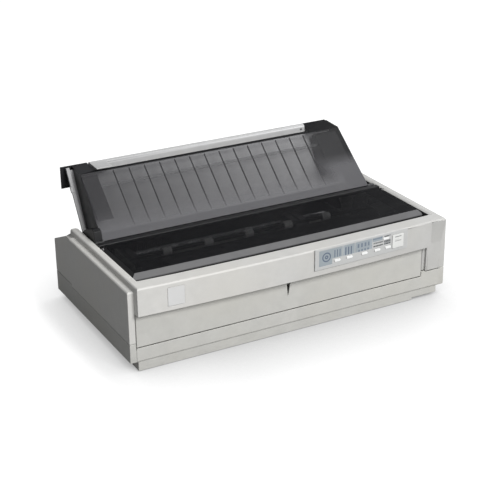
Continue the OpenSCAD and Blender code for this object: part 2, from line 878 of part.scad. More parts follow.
module cover_solid(inset) {
  top = cover_top - inset;
  half = cover_half - inset;
  bevel = lip_width - 3.5;
  intersection() {
    along_y(-10, cover_rear + (inset > 0 ? 1 : 0))
      polygon([
        [-half, cover_bottom - inset], [-half, top - bevel], [-half + bevel, top],
        [half - bevel, top], [half, top - bevel], [half, cover_bottom - inset]
      ]);
    translate([0, cover_front + inset + cover_radius - cover_bow, cover_bottom - inset]) {
      cylinder(r = cover_radius, h = cover_height - lip_width, $fn = big_fn);
      translate([0, 0, cover_height - lip_width])
        cylinder(r1 = cover_radius, r2 = cover_radius - lip_width, h = lip_width, $fn = big_fn);
    }
  }
}

module printer_cover() {
  color(smoke) {
    difference() {
      cover_solid(0);
      cover_solid(cover_wall);
    }
    mirrored() {
      bar_x(cover_half - cover_wall, cover_half, cover_axis_y, cover_axis_z, cover_ear_radius);
      bar_x(cover_half - 1, cover_half + cover_gap + skirt_wall, cover_axis_y, cover_axis_z,
        hinge_pin_radius);
    }
  }
}

module hinge_bar() {
  color(smoke)
    along_x(-skirt_half, skirt_half)
      polygon([
        [bar_front, cover_top - bar_thickness], [bar_front, cover_top - 1],
        [bar_front + 1, cover_top], [bar_rear - 1, cover_top],
        [bar_rear, cover_top - 1], [bar_rear, cover_top - bar_thickness]
      ]);
}

// Guide points in the Y-Z plane: u runs up the face, w behind it
function on_face(u, w) = [
  guide_foot_y + u * cos(guide_angle) + w * sin(guide_angle),
  guide_foot_z + u * sin(guide_angle) - w * cos(guide_angle)
];

// Frame points in the Y-Z plane: s runs up from the foot, t before it
function on_frame(s, t) = [
  frame_foot_y + s * cos(frame_angle) - t * sin(frame_angle),
  frame_foot_z + s * sin(frame_angle) + t * cos(frame_angle)
];

module wedge(inset) {
  polygon([
    on_face(inset > 0 ? -4 : 0, inset),
    on_face(guide_length + (inset > 0 ? 1 : 0), inset),
    [guide_top_y + inset * 1.2, crown_z - inset - 2.4],
    [crown_y + (inset > 0 ? 5 : 0), crown_z - inset],
    inset > 0 ? [crown_y + 5, crown_z - 14] : on_frame(crown_s - 3, 0),
    on_frame(inset > 0 ? -30 : 2, 0),
    on_frame(inset > 0 ? -30 : 0, inset > 0 ? 60 : 4),
    [guide_axis_y - 2, guide_axis_z - 2]
  ]);
}

module guide_prism(inset) {
  translate([0, guide_foot_y, guide_foot_z]) rotate([guide_angle, 0, 0])
    translate([0, 0, -120]) linear_extrude(160)
      polygon([
        [-guide_foot_half - 1 + inset, -20], [guide_foot_half + 1 - inset, -20],
        [guide_top_half - 1 - inset, guide_length + 50], [-guide_top_half + 1 + inset, guide_length + 50]
      ]);
}

module guide_cover() {
  color(smoke) {
    difference() {
      intersection() {
        guide_prism(0);
        along_x(-guide_foot_half - 5, guide_foot_half + 5) wedge(0);
      }
      intersection() {
        guide_prism(cover_wall);
        along_x(-guide_foot_half - 5, guide_foot_half + 5) wedge(cover_wall);
      }
      // Notch in the top, where the frame's bar shows
      box([-notch_left, guide_top_y + crown_ledge, guide_top_z - 3], [notch_right, crown_y + 20, crown_z + 20]);
    }
    guide_ribs();
    rear_flaps();
    guide_pins();
    hinge_guard();
  }
}

// Stiffening ribs behind the face
module guide_ribs() {
  for (i = [0 : rib_count - 1])
    along_x(rib_first + i * rib_pitch - rib_width / 2, rib_first + i * rib_pitch + rib_width / 2)
      polygon([
        on_face(12, cover_wall - 0.2), on_face(guide_length - 1, cover_wall - 0.2),
        on_face(guide_length - 1, cover_wall + rib_depth), on_face(32, cover_wall + rib_depth)
      ]);
}

// Two flaps over the frame's top edge and down behind it
module rear_flaps() {
  flap_front = crown_y + flap_gap;
  for (side = [-1, 1]) {
    inner = side < 0 ? -notch_left : notch_right;
    outer = side < 0 ? -guide_top_half - flap_reach : guide_top_half - 2;
    low = min(inner, outer);
    high = max(inner, outer);
    plate_low = side < 0 ? -guide_top_half + 3 : notch_right;
    plate_high = side < 0 ? -notch_left : guide_top_half - 3;
    along_x(low, high)
      polygon([
        [flap_front, crown_z - flap_drop], [flap_front, crown_z],
        [flap_front + cover_wall, crown_z], [flap_front + cover_wall, crown_z - flap_drop]
      ]);
    box([plate_low, crown_y - 2, crown_z - cover_wall], [plate_high, flap_front + 1, crown_z - 0.1]);
  }
}

module guide_pins() {
  inner = guide_foot_half - 3;
  mirrored() {
    bar_x(inner, skirt_half + skirt_wall, guide_axis_y, guide_axis_z, hinge_pin_radius);
    bar_x(inner, skirt_half - 0.5, guide_axis_y, guide_axis_z, hinge_pin_radius + 2);
  }
}

// Guard beside the foot of the left cheek, over the hinge
module hinge_guard() {
  along_x(-skirt_half + 1, -guide_foot_half + 1)
    polygon([
      [guide_axis_y - 1, guide_foot_z + 2], [guide_axis_y + 3, guide_foot_z + 16],
      [guide_axis_y + 10, guide_foot_z + 19], [guide_axis_y + 38, guide_foot_z + 9],
      [guide_axis_y + 58, guide_foot_z - 3], [guide_axis_y + 58, guide_foot_z - 7],
      [guide_axis_y, guide_axis_z - 3]
    ]);
}

module guide_frame() {
  top_s = (crown_z - 3 - frame_foot_z) / sin(frame_angle);
  color(guide_grey) {
    // Plate with a thicker strip along its left side
    along_x(-guide_foot_half - 2, guide_foot_half)
      polygon([
        on_frame(0, -0.3), on_frame(0, -0.3 - frame_plate),
        on_frame(top_s - 2, -0.3 - frame_plate), on_frame(top_s - 2, -0.3)
      ]);
    along_x(-guide_foot_half - frame_strip, -guide_foot_half - 1)
      polygon([
        on_frame(0, -1), on_frame(0, strip_thickness), on_frame(crown_s - 2, strip_thickness),
        on_frame(crown_s - 1, -1)
      ]);
    // Clip lug on the left strip
    along_x(-guide_foot_half - frame_strip - 2, -guide_foot_half - frame_strip + 3)
      polygon([
        on_frame(crown_s - 46, 1), on_frame(crown_s - 46, 5), on_frame(crown_s - 36, 5),
        on_frame(crown_s - 34, 1)
      ]);
    // Rounded bar along the top, in the guide's notch
    frame_bar();
  }
}

module frame_bar() {
  bar_rear_y = crown_y + 0.5;
  bar_top = crown_z + 3.5;
  r = top_bar_depth / 2;
  difference() {
    union() {
      bar_x(-notch_left + 1, notch_right - 1, bar_rear_y - r, bar_top - r, r);
      box([-notch_left + 1, bar_rear_y - top_bar_depth, bar_top - top_bar_height],
        [notch_right - 1, bar_rear_y, bar_top - r]);
      // Block at the left end, over the cover's top edge
      box([-notch_left + 1, guide_top_y + 1, crown_z + 0.5],
        [-notch_left + end_block, bar_rear_y - r, crown_z + 2.5]);
    }
    // Blind hole at the right end of the bar
    bar_y(bar_rear_y - top_bar_depth - 1, bar_rear_y - 4, notch_right - 9, bar_top - 9, 2.5);
  }
}

rail_below_top = 22;
rail_y = on_face(guide_length - rail_below_top, 12)[0];
rail_z = on_face(guide_length - rail_below_top, 12)[1];

// Half width of the guide at the height u of its face
function guide_half(u) = guide_foot_half + 1
  - (u + 20) / (guide_length + 70) * (guide_foot_half - guide_top_half + 2);

module edge_guide_rail() {
  half = guide_half(guide_length - rail_below_top) - cover_wall - 0.15;
  color(steel) bar_x(-half, half, rail_y, rail_z, rail_radius);
}

module edge_guide(side) {
  outer = edge_guide_outer;
  inner = edge_guide_outer - (side > 0 ? right_guide_width : edge_guide_width);
  color(dark_plastic) difference() {
    along_x(side > 0 ? inner : -outer, side > 0 ? outer : -inner)
      polygon([
        on_face(40, cover_wall + 4), on_face(guide_length - 1, cover_wall + 4),
        on_face(guide_length + 2, cover_wall + 14), on_frame(70, 2), on_frame(44, 2)
      ]);
    bar_x(side > 0 ? inner - 1 : -outer - 1, side > 0 ? outer + 1 : -inner + 1, rail_y, rail_z,
      rail_radius + running_fit);
  }
}

module edge_guide_left() {
  edge_guide(-1);
}

module edge_guide_right() {
  edge_guide(1);
}

// ---- control panel

module pill(length, height, y0, y1) {
  r = height / 2;
  run = length / 2 - r;
  bar_y(y0, y1, -run, 0, r);
  bar_y(y0, y1, run, 0, r);
  box([-run, y0, -r], [run, y1, r]);
}

// A plate of the control panel from x0 to x1 and z0 to z1
module panel_plate(x0, x1, z0, z1, y0, y1) {
  box([x0, y0, z0], [x1, y1, z1]);
}

// The printed fields beside and above the buttons
module legend_fields(y0, y1) {
  panel_plate(legend_left, button_x(0) - 10, button_z - 5, legend_high, y0, y1);
  panel_plate(button_x(0) - 10 - eps, legend_1_right, legend_low, legend_high, y0, y1);
  panel_plate(legend_1_right + legend_gap, legend_2_right, legend_low, legend_high, y0, y1);
  panel_plate(legend_2_right + legend_gap, legend_3_right, legend_low, legend_high, y0, y1);
  panel_plate(legend_3_right + legend_gap, button_x(5) - 7.5, legend_high - 7, legend_high, y0, y1);
}

// Two rows of lamp windows, a square window and a bar
module lamp_windows() {
  back = bezel_y(legend_4_right) + bezel_plate + 1;
  for (i = [0 : 1])
    panel_plate(lamp_left, lamp_right, lamp_low + i * lamp_pitch,
      lamp_low + i * lamp_pitch + lamp_height, bezel_front - 1, back);
  panel_plate(lamp_right + 2, legend_4_right, lamp_low,
    lamp_low + lamp_pitch + lamp_height, bezel_front - 1, back);
  panel_plate(lamp_right + 2, legend_4_right, legend_high - 2.4,
    legend_high - 0.5, bezel_front - 1, back);
}

// Everything behind the control panel's bowed face
module bezel_curve(inset) {
  translate([bezel_bow_x, 0, 0])
    behind_bow(front_radius - inset, bezel_y(bezel_bow_x) + inset, bezel_bottom - 1, bezel_top + 1);
}

module control_bezel() {
  color(guide_grey) difference() {
    intersection() {
      union() {
        difference() {
          box([bezel_left, bezel_front - 1, bezel_bottom], [bezel_right, 0, bezel_top]);
          behind_bow(front_radius, front_mid_y, bezel_bottom - 1, bezel_top + 1);
        }
        box([bezel_left + box_inset, bezel_front, bezel_bottom + box_inset],
          [bezel_right - box_inset, bezel_back + box_depth, bezel_top - box_inset]);
      }
      bezel_curve(0);
    }
    intersection() {
      box([bezel_left + box_inset + box_wall, bezel_front, bezel_bottom + box_inset + box_wall],
        [bezel_right - box_inset - box_wall, bezel_back + box_depth + 1,
          bezel_top - box_inset - box_wall]);
      bezel_curve(bezel_plate);
    }
    for (i = [0 : 5])
      translate([button_x(i), 0, button_level(i)])
        pill(button_length + 2 * button_gap, button_height + 2 * button_gap, bezel_front - 1,
          bezel_y(button_x(i)) + bezel_plate + 1);
    box([pause_left - button_gap, bezel_front - 1, pause_low - button_gap],
      [pause_left + pause_size + button_gap, bezel_y(bezel_right) + bezel_plate, pause_high + button_gap]);
    legend_plate();
    lamp_windows();
  }
}

pause_left = legend_4_right + pause_gap;

module legend_plate() {
  color(legend_blue) difference() {
    intersection() {
      legend_fields(bezel_front - 1, bezel_y(bezel_right));
      bezel_curve(0);
    }
    bezel_curve(legend_thickness);
  }
}

module indicator_lamps() {
  middle = (lamp_left + legend_4_right) / 2;
  color(dark_plastic) {
    difference() {
      intersection() {
        lamp_windows();
        panel_flat(middle, 0.2);
      }
      panel_flat(middle, bezel_plate + flat_gap);
    }
    intersection() {
      panel_plate(lamp_left - 1, legend_4_right + 0.5, lamp_low - 0.5, lamp_low + lamp_pitch + lamp_height,
        bezel_front, bezel_y(legend_4_right) + bezel_plate + 1);
      panel_flat(middle, bezel_plate + flat_gap);
    }
  }
}

// Everything behind a flat on the bowed face at x, set back by an inset
module panel_flat(x, inset) {
  translate([x, bezel_y(x) + inset, 0]) rotate([0, 0, asin((x - bezel_bow_x) / front_radius)])
    box([-pause_size, 0, bezel_bottom], [pause_size, box_depth, bezel_top]);
}

// A button's flange behind the panel, and the stem to its switch
module button_back(x, z, width, height) {
  intersection() {
    box([x - width / 2 - flange_edge, bezel_front, z - height / 2 - flange_edge],
      [x + width / 2 + flange_edge, bezel_y(x + width / 2) + bezel_plate + 0.2 + button_flange,
        z + height / 2 + flange_edge]);
    panel_flat(x, bezel_plate + 0.1);
  }
  bar_y(bezel_y(x) + bezel_plate + button_flange, bezel_back + box_depth - button_travel - 0.3,
    x, z, 1.5);
}

module panel_button(i) {
  x = button_x(i);
  color(guide_grey) {
    intersection() {
      translate([x, 0, button_level(i)])
        pill(button_length, button_height, bezel_front - 2, bezel_y(x) + bezel_plate + 0.7);
      panel_flat(x, -button_proud);
    }
    button_back(x, button_level(i), button_length, button_height);
  }
}

module panel_button_1() { panel_button(0); }
module panel_button_2() { panel_button(1); }
module panel_button_3() { panel_button(2); }
module panel_button_4() { panel_button(3); }
module panel_button_5() { panel_button(4); }
module panel_button_6() { panel_button(5); }

module pause_button() {
  x = pause_left + pause_size / 2;
  color(guide_grey) {
    intersection() {
      box([pause_left, bezel_front - 2, pause_low],
        [x + pause_size / 2, bezel_y(x) + bezel_plate + 0.4, pause_high]);
      panel_flat(x, -button_proud);
    }
    button_back(x, (pause_low + pause_high) / 2, pause_size, pause_high - pause_low);
  }
}

module control_board() {
  color(board_green)
    box([bezel_left + box_inset, bezel_back + box_depth, bezel_bottom + box_inset],
      [bezel_right - box_inset, bezel_back + box_depth + board_thickness, bezel_top - box_inset]);
}

// ---- chassis and paper feed

module side_plate(x0) {
  along_x(x0, x0 + side_sheet)
    polygon([
      [tray_front + 8, tray_bottom], [tray_front + 8, 76], [carriage_shaft_y - 26, 104],
      [platen_y - 26, 128], [bail_pivot_y + 10, 128], [bail_pivot_y + 18, 84],
      [tractor_rail_y + 10, 84], [tractor_rail_y + 10, tray_bottom]
    ]);
}

module chassis() {
  color(zinc) difference() {
    union() {
      box([-tray_half, tray_front, tray_bottom], [tray_half, tray_rear, tray_top]);
      side_plate(-side_outer);
      side_plate(side_inner);
      // Posts that carry the idler gears
      bar_x(-gear_far - 1, -side_outer + 1, idler_a_y, idler_a_z, gear_post_radius);
      bar_x(-gear_far - 1, -side_outer + 1, idler_b_y, idler_b_z, gear_post_radius);
      // Posts that carry the two setting levers
      bar_x(side_outer - 1, side_outer + 6, release_y, release_z, lever_post_radius);
      bar_x(-side_outer - 4, -side_outer + 1, carriage_shaft_y, carriage_shaft_z, lever_post_radius);
      // Post of the belt's idler pulley
      translate([pulley_x, pulley_y, tray_top - 1])
        cylinder(r = 3, h = belt_bottom + belt_height + 2 - tray_top + 1);
      // Stand-offs under the main board
      for (x = [board_left + 8, board_right - 8], y = [board_front + 8, board_rear - 8])
        translate([x, y, tray_top - eps]) cylinder(r = 3.5, h = board_bottom - tray_top + eps);
    }
    // Bushed holes for the shafts
    bar_x(-side_outer - 1, side_outer + 1, platen_y, platen_z, platen_shaft_radius + running_fit);
    bar_x(-side_outer - 1, side_outer + 1, tractor_y, tractor_z, tractor_rail_radius + running_fit);
    bar_x(-side_outer - 1, side_outer + 1, bail_pivot_y, bail_pivot_z, bail_shaft_radius + running_fit);
    bar_x(-side_outer - 1, -side_inner + 1, idler_a_y, pinion_z, 4);
    for (x = [-screw_x, screw_x], y = [screw_front, screw_rear])
      translate([x, y, tray_bottom - 1]) cylinder(r = screw_radius + running_fit, h = sheet + 2);
  }
}

board_left = -60;
board_right = 225;
board_front = platen_y + 55;
board_rear = case_depth - 13;
lever_post_radius = 3;
release_y = platen_y + 22;
release_z = platen_z - 30;

module platen_roller() {
  color(rubber_black) difference() {
    bar_x(-platen_half, platen_half, platen_y, platen_z, platen_radius);
    bar_x(-platen_half - 1, platen_half + 1, platen_y, platen_z, platen_shaft_radius);
  }
}

module platen_shaft() {
  color(steel) bar_x(-gear_far - shaft_overhang, knob_near, platen_y, platen_z, platen_shaft_radius);
}

module platen_knob() {
  flutes = 24;
  color(case_grey) difference() {
    union() {
      bar_x(half_width - 4, knob_near + 1, platen_y, platen_z, knob_hub_radius);
      bar_x(knob_near, knob_far - 1.5, platen_y, platen_z, knob_radius);
      translate([knob_far - 1.5, platen_y, platen_z]) rotate([0, 90, 0])
        cylinder(r1 = knob_radius, r2 = knob_radius - 1.5, h = 1.5);
    }
    bar_x(half_width - 5, knob_near, platen_y, platen_z, platen_shaft_radius);
    for (i = [0 : flutes - 1])
      translate([0, platen_y, platen_z]) rotate([i * 360 / flutes, 0, 0])
        bar_x(knob_near + 4, knob_far + 1, knob_radius + 0.4, 0, 1.2);
  }
}

module platen_gear() {
  color(guide_grey)
    spur_gear(platen_y, platen_z, platen_pitch, platen_gear_teeth, platen_shaft_radius);
}

module idler_gear_a() {
  color(guide_grey)
    spur_gear(idler_a_y, idler_a_z, idler_pitch, idler_gear_teeth, gear_post_radius + running_fit);
}

module idler_gear_b() {
  color(guide_grey)
    spur_gear(idler_b_y, idler_b_z, idler_pitch, idler_gear_teeth, gear_post_radius + running_fit);
}

module feed_motor() {
  color(dark_plastic)
    bar_x(-side_inner, -side_inner + feed_motor_length, idler_a_y, pinion_z, feed_motor_radius);
}

// The pinion on its motor spindle
module feed_pinion() {
  color(steel) {
    spur_gear(idler_a_y, pinion_z, pinion_pitch, pinion_teeth, 1.5);
    bar_x(-gear_far, -side_inner - 0.2, idler_a_y, pinion_z, 2.5);
  }
}

// Chute under the carriage and trough under the platen
module paper_chute() {
  plate = 1.5;
  low = carriage_bottom - 5;
  trough_top = platen_z - 17;
  inner = platen_radius + 1.5;
  outer = inner + 2.5;
  color(dark_plastic) {
    difference() {
      intersection() {
        bar_x(-side_inner, side_inner, platen_y, platen_z, outer);
        box([-side_inner, platen_y - outer, 0], [side_inner, platen_y + outer, trough_top]);
      }
      bar_x(-side_inner - 1, side_inner + 1, platen_y, platen_z, inner);
    }
    along_x(-front_slot_half, front_slot_half)
      polygon([
        [recess_back + wall, front_slot_bottom - 2], [recess_back + wall + 30, low],
        [platen_y - 25, low], [platen_y - 10, trough_top - 2],
        [platen_y - 7.5, trough_top - 3.5], [platen_y - 23, low - plate],
        [recess_back + wall + 29, low - plate], [recess_back + wall, front_slot_bottom - 2 - plate]
      ]);
  }
}

module paper_bail() {
  half = side_inner - bail_arm_gap;
  tab_y = bail_y - 12;
  tab_z = bail_z + 5;
  color(steel) {
    bar_x(-half, half, bail_y, bail_z, bail_shaft_radius);
    mirrored() {
      link_x(half - bail_arm, half, [bail_y, bail_z], [bail_pivot_y, bail_pivot_z], 4);
      bar_x(half - 1, side_outer, bail_pivot_y, bail_pivot_z, bail_shaft_radius);
    }
    // Finger tab at the right arm
    link_x(half - bail_arm, half, [bail_y, bail_z], [tab_y, tab_z], 3);
    bar_x(half - 10, half, tab_y, tab_z, 3);
  }
}

module bail_rollers() {
  color(rubber_black)
    for (i = [0 : bail_roller_count - 1]) {
      x = bail_first + i * bail_roller_pitch;
      difference() {
        bar_x(x - bail_roller_width / 2, x + bail_roller_width / 2, bail_y, bail_z, bail_roller_radius);
        bar_x(x - bail_roller_width / 2 - 1, x + bail_roller_width / 2 + 1, bail_y, bail_z,
          bail_shaft_radius + running_fit);
      }
    }
}

module release_lever() {
  x0 = side_outer + 1;
  tip = [platen_y - 2, platen_z + 38];
  color(dark_plastic) difference() {
    union() {
      link_x(x0, x0 + 3, [release_y, release_z], tip, 5);
      bar_x(x0 + 1, x0 + 12, tip[0], tip[1], 4);
    }
    bar_x(x0 - 1, x0 + 4, release_y, release_z, lever_post_radius + running_fit);
  }
}

module thickness_lever() {
  x1 = -side_outer - 0.5;
  tip = [carriage_shaft_y - 8, platen_z + 36];
  color(dark_plastic) difference() {
    union() {
      link_x(x1 - 3, x1, [carriage_shaft_y, carriage_shaft_z], tip, 5);
      bar_x(x1 - 12, x1 - 1, tip[0], tip[1], 4);
    }
    bar_x(x1 - 4, x1 + 1, carriage_shaft_y, carriage_shaft_z, lever_post_radius + running_fit);
  }
}

// ---- carriage

module carriage() {
  half = carriage_width / 2;
  color(dark_plastic) translate([carriage_x, 0, 0]) difference() {
    union() {
      box([-half, carriage_front, carriage_bottom], [half, carriage_rear, carriage_top]);
      // Fork around the front rod
      box([-half, rod_y - 8, rod_z + guide_rod_radius + 0.4],
        [half, carriage_front + 1, rod_z + guide_rod_radius + 3.5]);
      box([-half, rod_y - 8, rod_z - guide_rod_radius - 3.4],
        [half, carriage_front + 1, rod_z - guide_rod_radius - 0.4]);
      // Clamp around the belt
      box([-12, pulley_y + pulley_radius - 3, belt_bottom - 3],
        [12, carriage_front + 1, belt_bottom + belt_height + 1.5]);
      // Brackets that carry the ribbon cartridge
      mirrored() box([half - 6, carriage_front + 6, carriage_top - 1],
        [half, carriage_rear - 10, bracket_top]);
    }
    bar_x(-half - 1, half + 1, carriage_shaft_y, carriage_shaft_z, carriage_shaft_radius + running_fit);
    box([-13, pulley_y + pulley_radius - 0.5, belt_bottom - 0.6],
      [13, pulley_y + pulley_radius + belt_gap + belt_thickness + 0.8, belt_bottom + belt_height + 5]);
  }
}

module print_head() {
  fins = 6;
  body_rear = carriage_rear + 4;
  color(dark_plastic) translate([carriage_x, 0, 0]) {
    difference() {
      box([-20, carriage_front + 8, carriage_top], [20, body_rear, carriage_top + 27]);
      for (i = [0 : fins - 1])
        box([-21, carriage_front + 11 + i * 6, carriage_top + 8],
          [21, carriage_front + 13.5 + i * 6, carriage_top + 28]);
    }
    box([-9, body_rear - 1, platen_z - 11], [9, nose_tip, platen_z + 8]);
  }
}

module ribbon_cartridge() {
  half = cartridge_width / 2;
  color(rubber_black) translate([carriage_x, 0, 0]) {
    box([-half, rod_y + 6, bracket_top], [half, carriage_rear - 4, bracket_top + 15]);
    mirrored() box([half - 14, carriage_rear - 5, bracket_top + 2], [half, platen_y - 20, bracket_top + 13]);
  }
}

module carriage_shaft() {
  color(steel) bar_x(-side_inner, side_inner, carriage_shaft_y, carriage_shaft_z, carriage_shaft_radius);
}

module guide_rod() {
  color(steel) bar_x(-side_inner, side_inner, rod_y, rod_z, guide_rod_radius);
}

module pulley(x, bore) {
  translate([x, pulley_y, belt_bottom - 1]) difference() {
    union() {
      cylinder(r = pulley_radius + 1.5, h = 0.8);
      cylinder(r = pulley_radius, h = belt_height + 1.2);
    }
    translate([0, 0, -1]) cylinder(r = bore, h = belt_height + 4);
  }
}

module carriage_motor() {
  color(dark_plastic) translate([-pulley_x, pulley_y, tray_top])
    cylinder(r = carriage_motor_radius, h = carriage_bottom - 3 - tray_top);
}

module drive_pulley() {
  color(steel) {
    pulley(-pulley_x, 2.4);
    translate([-pulley_x, pulley_y, carriage_bottom - 2.8])
      cylinder(r = 2.5, h = belt_bottom + belt_height + 0.2 - carriage_bottom + 2.8);
  }
}

module idler_pulley() {
  color(steel) pulley(pulley_x, 3 + running_fit);
}

module belt_outline(r, h) {
  for (side = [-1, 1])
    translate([side * pulley_x, pulley_y, belt_bottom]) cylinder(r = r, h = h);
  box([-pulley_x, pulley_y - r, belt_bottom], [pulley_x, pulley_y + r, belt_bottom + h]);
}

module timing_belt() {
  inner = pulley_radius + belt_gap;
  color(rubber_black) difference() {
    belt_outline(inner + belt_thickness, belt_height);
    translate([0, 0, -1]) belt_outline(inner, belt_height + 2);
  }
}

// ---- tractors

module tractor_shaft() {
  color(steel) {
    bar_x(-gear_far - 1, side_inner + side_sheet, tractor_y, tractor_z, tractor_rail_radius);
    spur_gear(tractor_y, tractor_z, idler_pitch, idler_gear_teeth,
      tractor_rail_radius - 0.5);
  }
}

module tractor_rail() {
  color(steel) bar_x(-side_inner, side_inner, tractor_rail_y, tractor_z, tractor_rail_radius);
}

// side is -1 for the tractor whose gate opens to the left
module tractor(x, side) {
  half = tractor_width / 2;
  ear = 3;
  front = tractor_y - tractor_body_radius;
  rear = tractor_rail_y + tractor_body_radius;
  hinge_x = x + side * (half + 1);
  pins = 4;
  color(dark_plastic) difference() {
    union() {
      bar_x(x - half, x + half, tractor_y, tractor_z, tractor_body_radius);
      bar_x(x - half, x + half, tractor_rail_y, tractor_z, tractor_body_radius);
      box([x - half, tractor_y, tractor_z - tractor_body_radius],
        [x + half, tractor_rail_y, tractor_top]);
      // Ears and pins of the gate's hinge
      for (end = [0, 1]) {
        y0 = end == 0 ? tractor_y - ear : tractor_rail_y;
        box([hinge_x - 2.5, y0, tractor_z + tractor_rail_radius + 2],
          [hinge_x + 2.5, y0 + ear, gate_axis_z + 2]);
        bar_y(end == 0 ? y0 : y0 - 4, end == 0 ? y0 + ear + 4 : y0 + ear, hinge_x, gate_axis_z,
          gate_pin_radius);
      }
      // Pins that take the holes in the paper
      for (i = [0 : pins - 1])
        translate([x, tractor_y + 5 + i * (tractor_span - 10) / (pins - 1), tractor_top - 1])
          cylinder(r = 1.6, h = 3);
    }
    bar_x(x - half - 1, x + half + 1, tractor_y, tractor_z, tractor_rail_radius + running_fit);
    bar_x(x - half - 1, x + half + 1, tractor_rail_y, tractor_z, tractor_rail_radius + running_fit);
  }
}

module tractor_gate(x, side) {
  half = tractor_width / 2;
  hinge_x = x + side * (half + 1);
  far_x = x - side * half;
  low = tractor_top + gate_gap;
  color(smoke) difference() {
    union() {
      box([min(hinge_x, far_x), tractor_y + 0.5, low],
        [max(hinge_x, far_x), tractor_rail_y - 0.5, low + gate_thickness]);
      bar_y(tractor_y + 0.5, tractor_rail_y - 0.5, hinge_x, gate_axis_z, gate_knuckle);
    }
    bar_y(tractor_y, tractor_rail_y, hinge_x, gate_axis_z, gate_pin_radius + running_fit);
    // Slot over the pins
    box([x - 2.4, tractor_y + 2, low - 1], [x + 2.4, tractor_rail_y - 2, low + gate_thickness + 1]);
  }
}

module tractor_left() { tractor(-tractor_left_x, -1); }
module tractor_right() { tractor(tractor_right_x, 1); }
module tractor_gate_left() { tractor_gate(-tractor_left_x, -1); }
module tractor_gate_right() { tractor_gate(tractor_right_x, 1); }

// ---- electronics

module main_board() {
  top = board_bottom + board_thickness;
  color(board_green) {
    box([board_left, board_front, board_bottom], [board_right, board_rear, top]);
    for (i = [0 : 3])
      box([board_left + 20 + i * 34, board_front + 14, top - eps],
        [board_left + 44 + i * 34, board_front + 26, top + 4]);
    box([board_right - 60, board_front + 40, top - eps], [board_right - 20, board_front + 60, top + 12]);
  }
}

module power_supply() {
  left = -side_inner + 4;
  right = board_left - 20;
  color(zinc) box([left, supply_front, tray_top], [right, supply_rear, parting_height - 4]);
}

module power_inlet() {
  left = inlet_x - inlet_width / 2;
  right = inlet_x + inlet_width / 2;
  pins = 3;
  color(dark_plastic) {
    difference() {
      box([left, supply_rear, inlet_bottom], [right, case_depth, inlet_bottom + inlet_height]);
      box([left + 3, case_depth - 14, inlet_bottom + 3],
        [right - 3, case_depth + 1, inlet_bottom + inlet_height - 3]);
    }
    for (i = [0 : pins - 1])
      box([inlet_x - 7 + i * 6, case_depth - 15, inlet_bottom + 8],
        [inlet_x - 5 + i * 6, case_depth - 3, inlet_bottom + 12]);
  }
}

module parallel_port() {
  half = port_width / 2;
  top = port_bottom + port_height;
  color(zinc) difference() {
    box([port_x - half, board_rear - 12, port_bottom], [port_x + half, case_depth + 2, top]);
    box([port_x - half + 11, case_depth - 8, port_bottom + 3], [port_x + half - 11, case_depth + 3, top - 3]);
    translate([port_x, 0, 0]) mirrored() {
      box([half - 7, case_depth - 4, port_bottom + clip_lug], [half + 1, case_depth + 3, top - clip_lug]);
      translate([half - clip_inset, clip_y, port_bottom - 1])
        cylinder(r = clip_wire + running_fit, h = port_height + 2);
    }
  }
}

// Wire clip on an upright axis at the port's end
module port_clip(side) {
  x = port_x + side * (port_width / 2 - clip_inset);
  low = port_bottom + clip_lug + clip_wire + 0.3;
  high = port_bottom + port_height - clip_lug - clip_wire - 0.3;
  color(steel) {
    translate([x, clip_y, port_bottom + 0.5]) cylinder(r = clip_wire, h = port_height - 1);
    for (z = [low, high])
      bar_y(clip_y, clip_y + clip_reach, x, z, clip_wire);
    translate([x, clip_y + clip_reach, low]) cylinder(r = clip_wire, h = high - low);
  }
}

module port_clip_left() { port_clip(-1); }
module port_clip_right() { port_clip(1); }

// Rocker with two flats, on an upright pin
module power_switch() {
  front = switch_y - switch_length / 2;
  rear = switch_y + switch_length / 2;
  low = switch_z - switch_height / 2;
  color(dark_plastic) {
    translate([0, 0, low]) linear_extrude(switch_height)
      polygon([
        [half_width - 7, front + 3], [half_width - 2, front + 1], [half_width + 1.4, front + 1],
        [half_width - 0.5, switch_y], [half_width - 0.5, rear - 0.5], [half_width - 3, rear - 0.5],
        [half_width - 7, rear - 3]
      ]);
    translate([half_width - switch_depth, switch_y, low - 1.5])
      cylinder(r = switch_pin, h = switch_height + 3);
  }
}

// Two lugs inside the cheek that hold the rocker's pin
module switch_cradle() {
  for (end = [-1, 1]) {
    near = switch_z + end * (switch_height / 2 + 0.4);
    far = switch_z + end * (switch_height / 2 + 2.6);
    box([half_width - switch_depth - 4, switch_y - 5, min(near, far)],
      [half_width - wall + eps, switch_y + 5, max(near, far)]);
  }
}

switch_depth = 5;
switch_pin = 1.5;

framed() lower_case();
framed() upper_case();
framed() front_door();
framed() printer_cover();
framed() hinge_bar();
framed() guide_cover();
framed() guide_frame();
framed() edge_guide_rail();
framed() edge_guide_left();
framed() edge_guide_right();
framed() control_bezel();
framed() legend_plate();
framed() panel_button_1();
framed() panel_button_2();
framed() panel_button_3();
framed() panel_button_4();
framed() panel_button_5();
framed() panel_button_6();
framed() pause_button();
framed() indicator_lamps();
framed() control_board();
framed() badge_plate();
framed() feet();
framed() chassis();
framed() chassis_screws();
framed() platen_roller();
framed() platen_shaft();
framed() platen_knob();
framed() platen_gear();
framed() idler_gear_a();
framed() idler_gear_b();
framed() feed_motor();
framed() feed_pinion();
framed() carriage();
framed() print_head();
framed() ribbon_cartridge();
framed() carriage_shaft();
framed() guide_rod();
framed() carriage_motor();
framed() drive_pulley();
framed() idler_pulley();
framed() timing_belt();
framed() paper_chute();
framed() paper_bail();
framed() bail_rollers();
framed() release_lever();
framed() thickness_lever();
framed() tractor_shaft();
framed() tractor_rail();
framed() tractor_left();
framed() tractor_right();
framed() tractor_gate_left();
framed() tractor_gate_right();
framed() main_board();
framed() power_supply();
framed() power_switch();
framed() power_inlet();
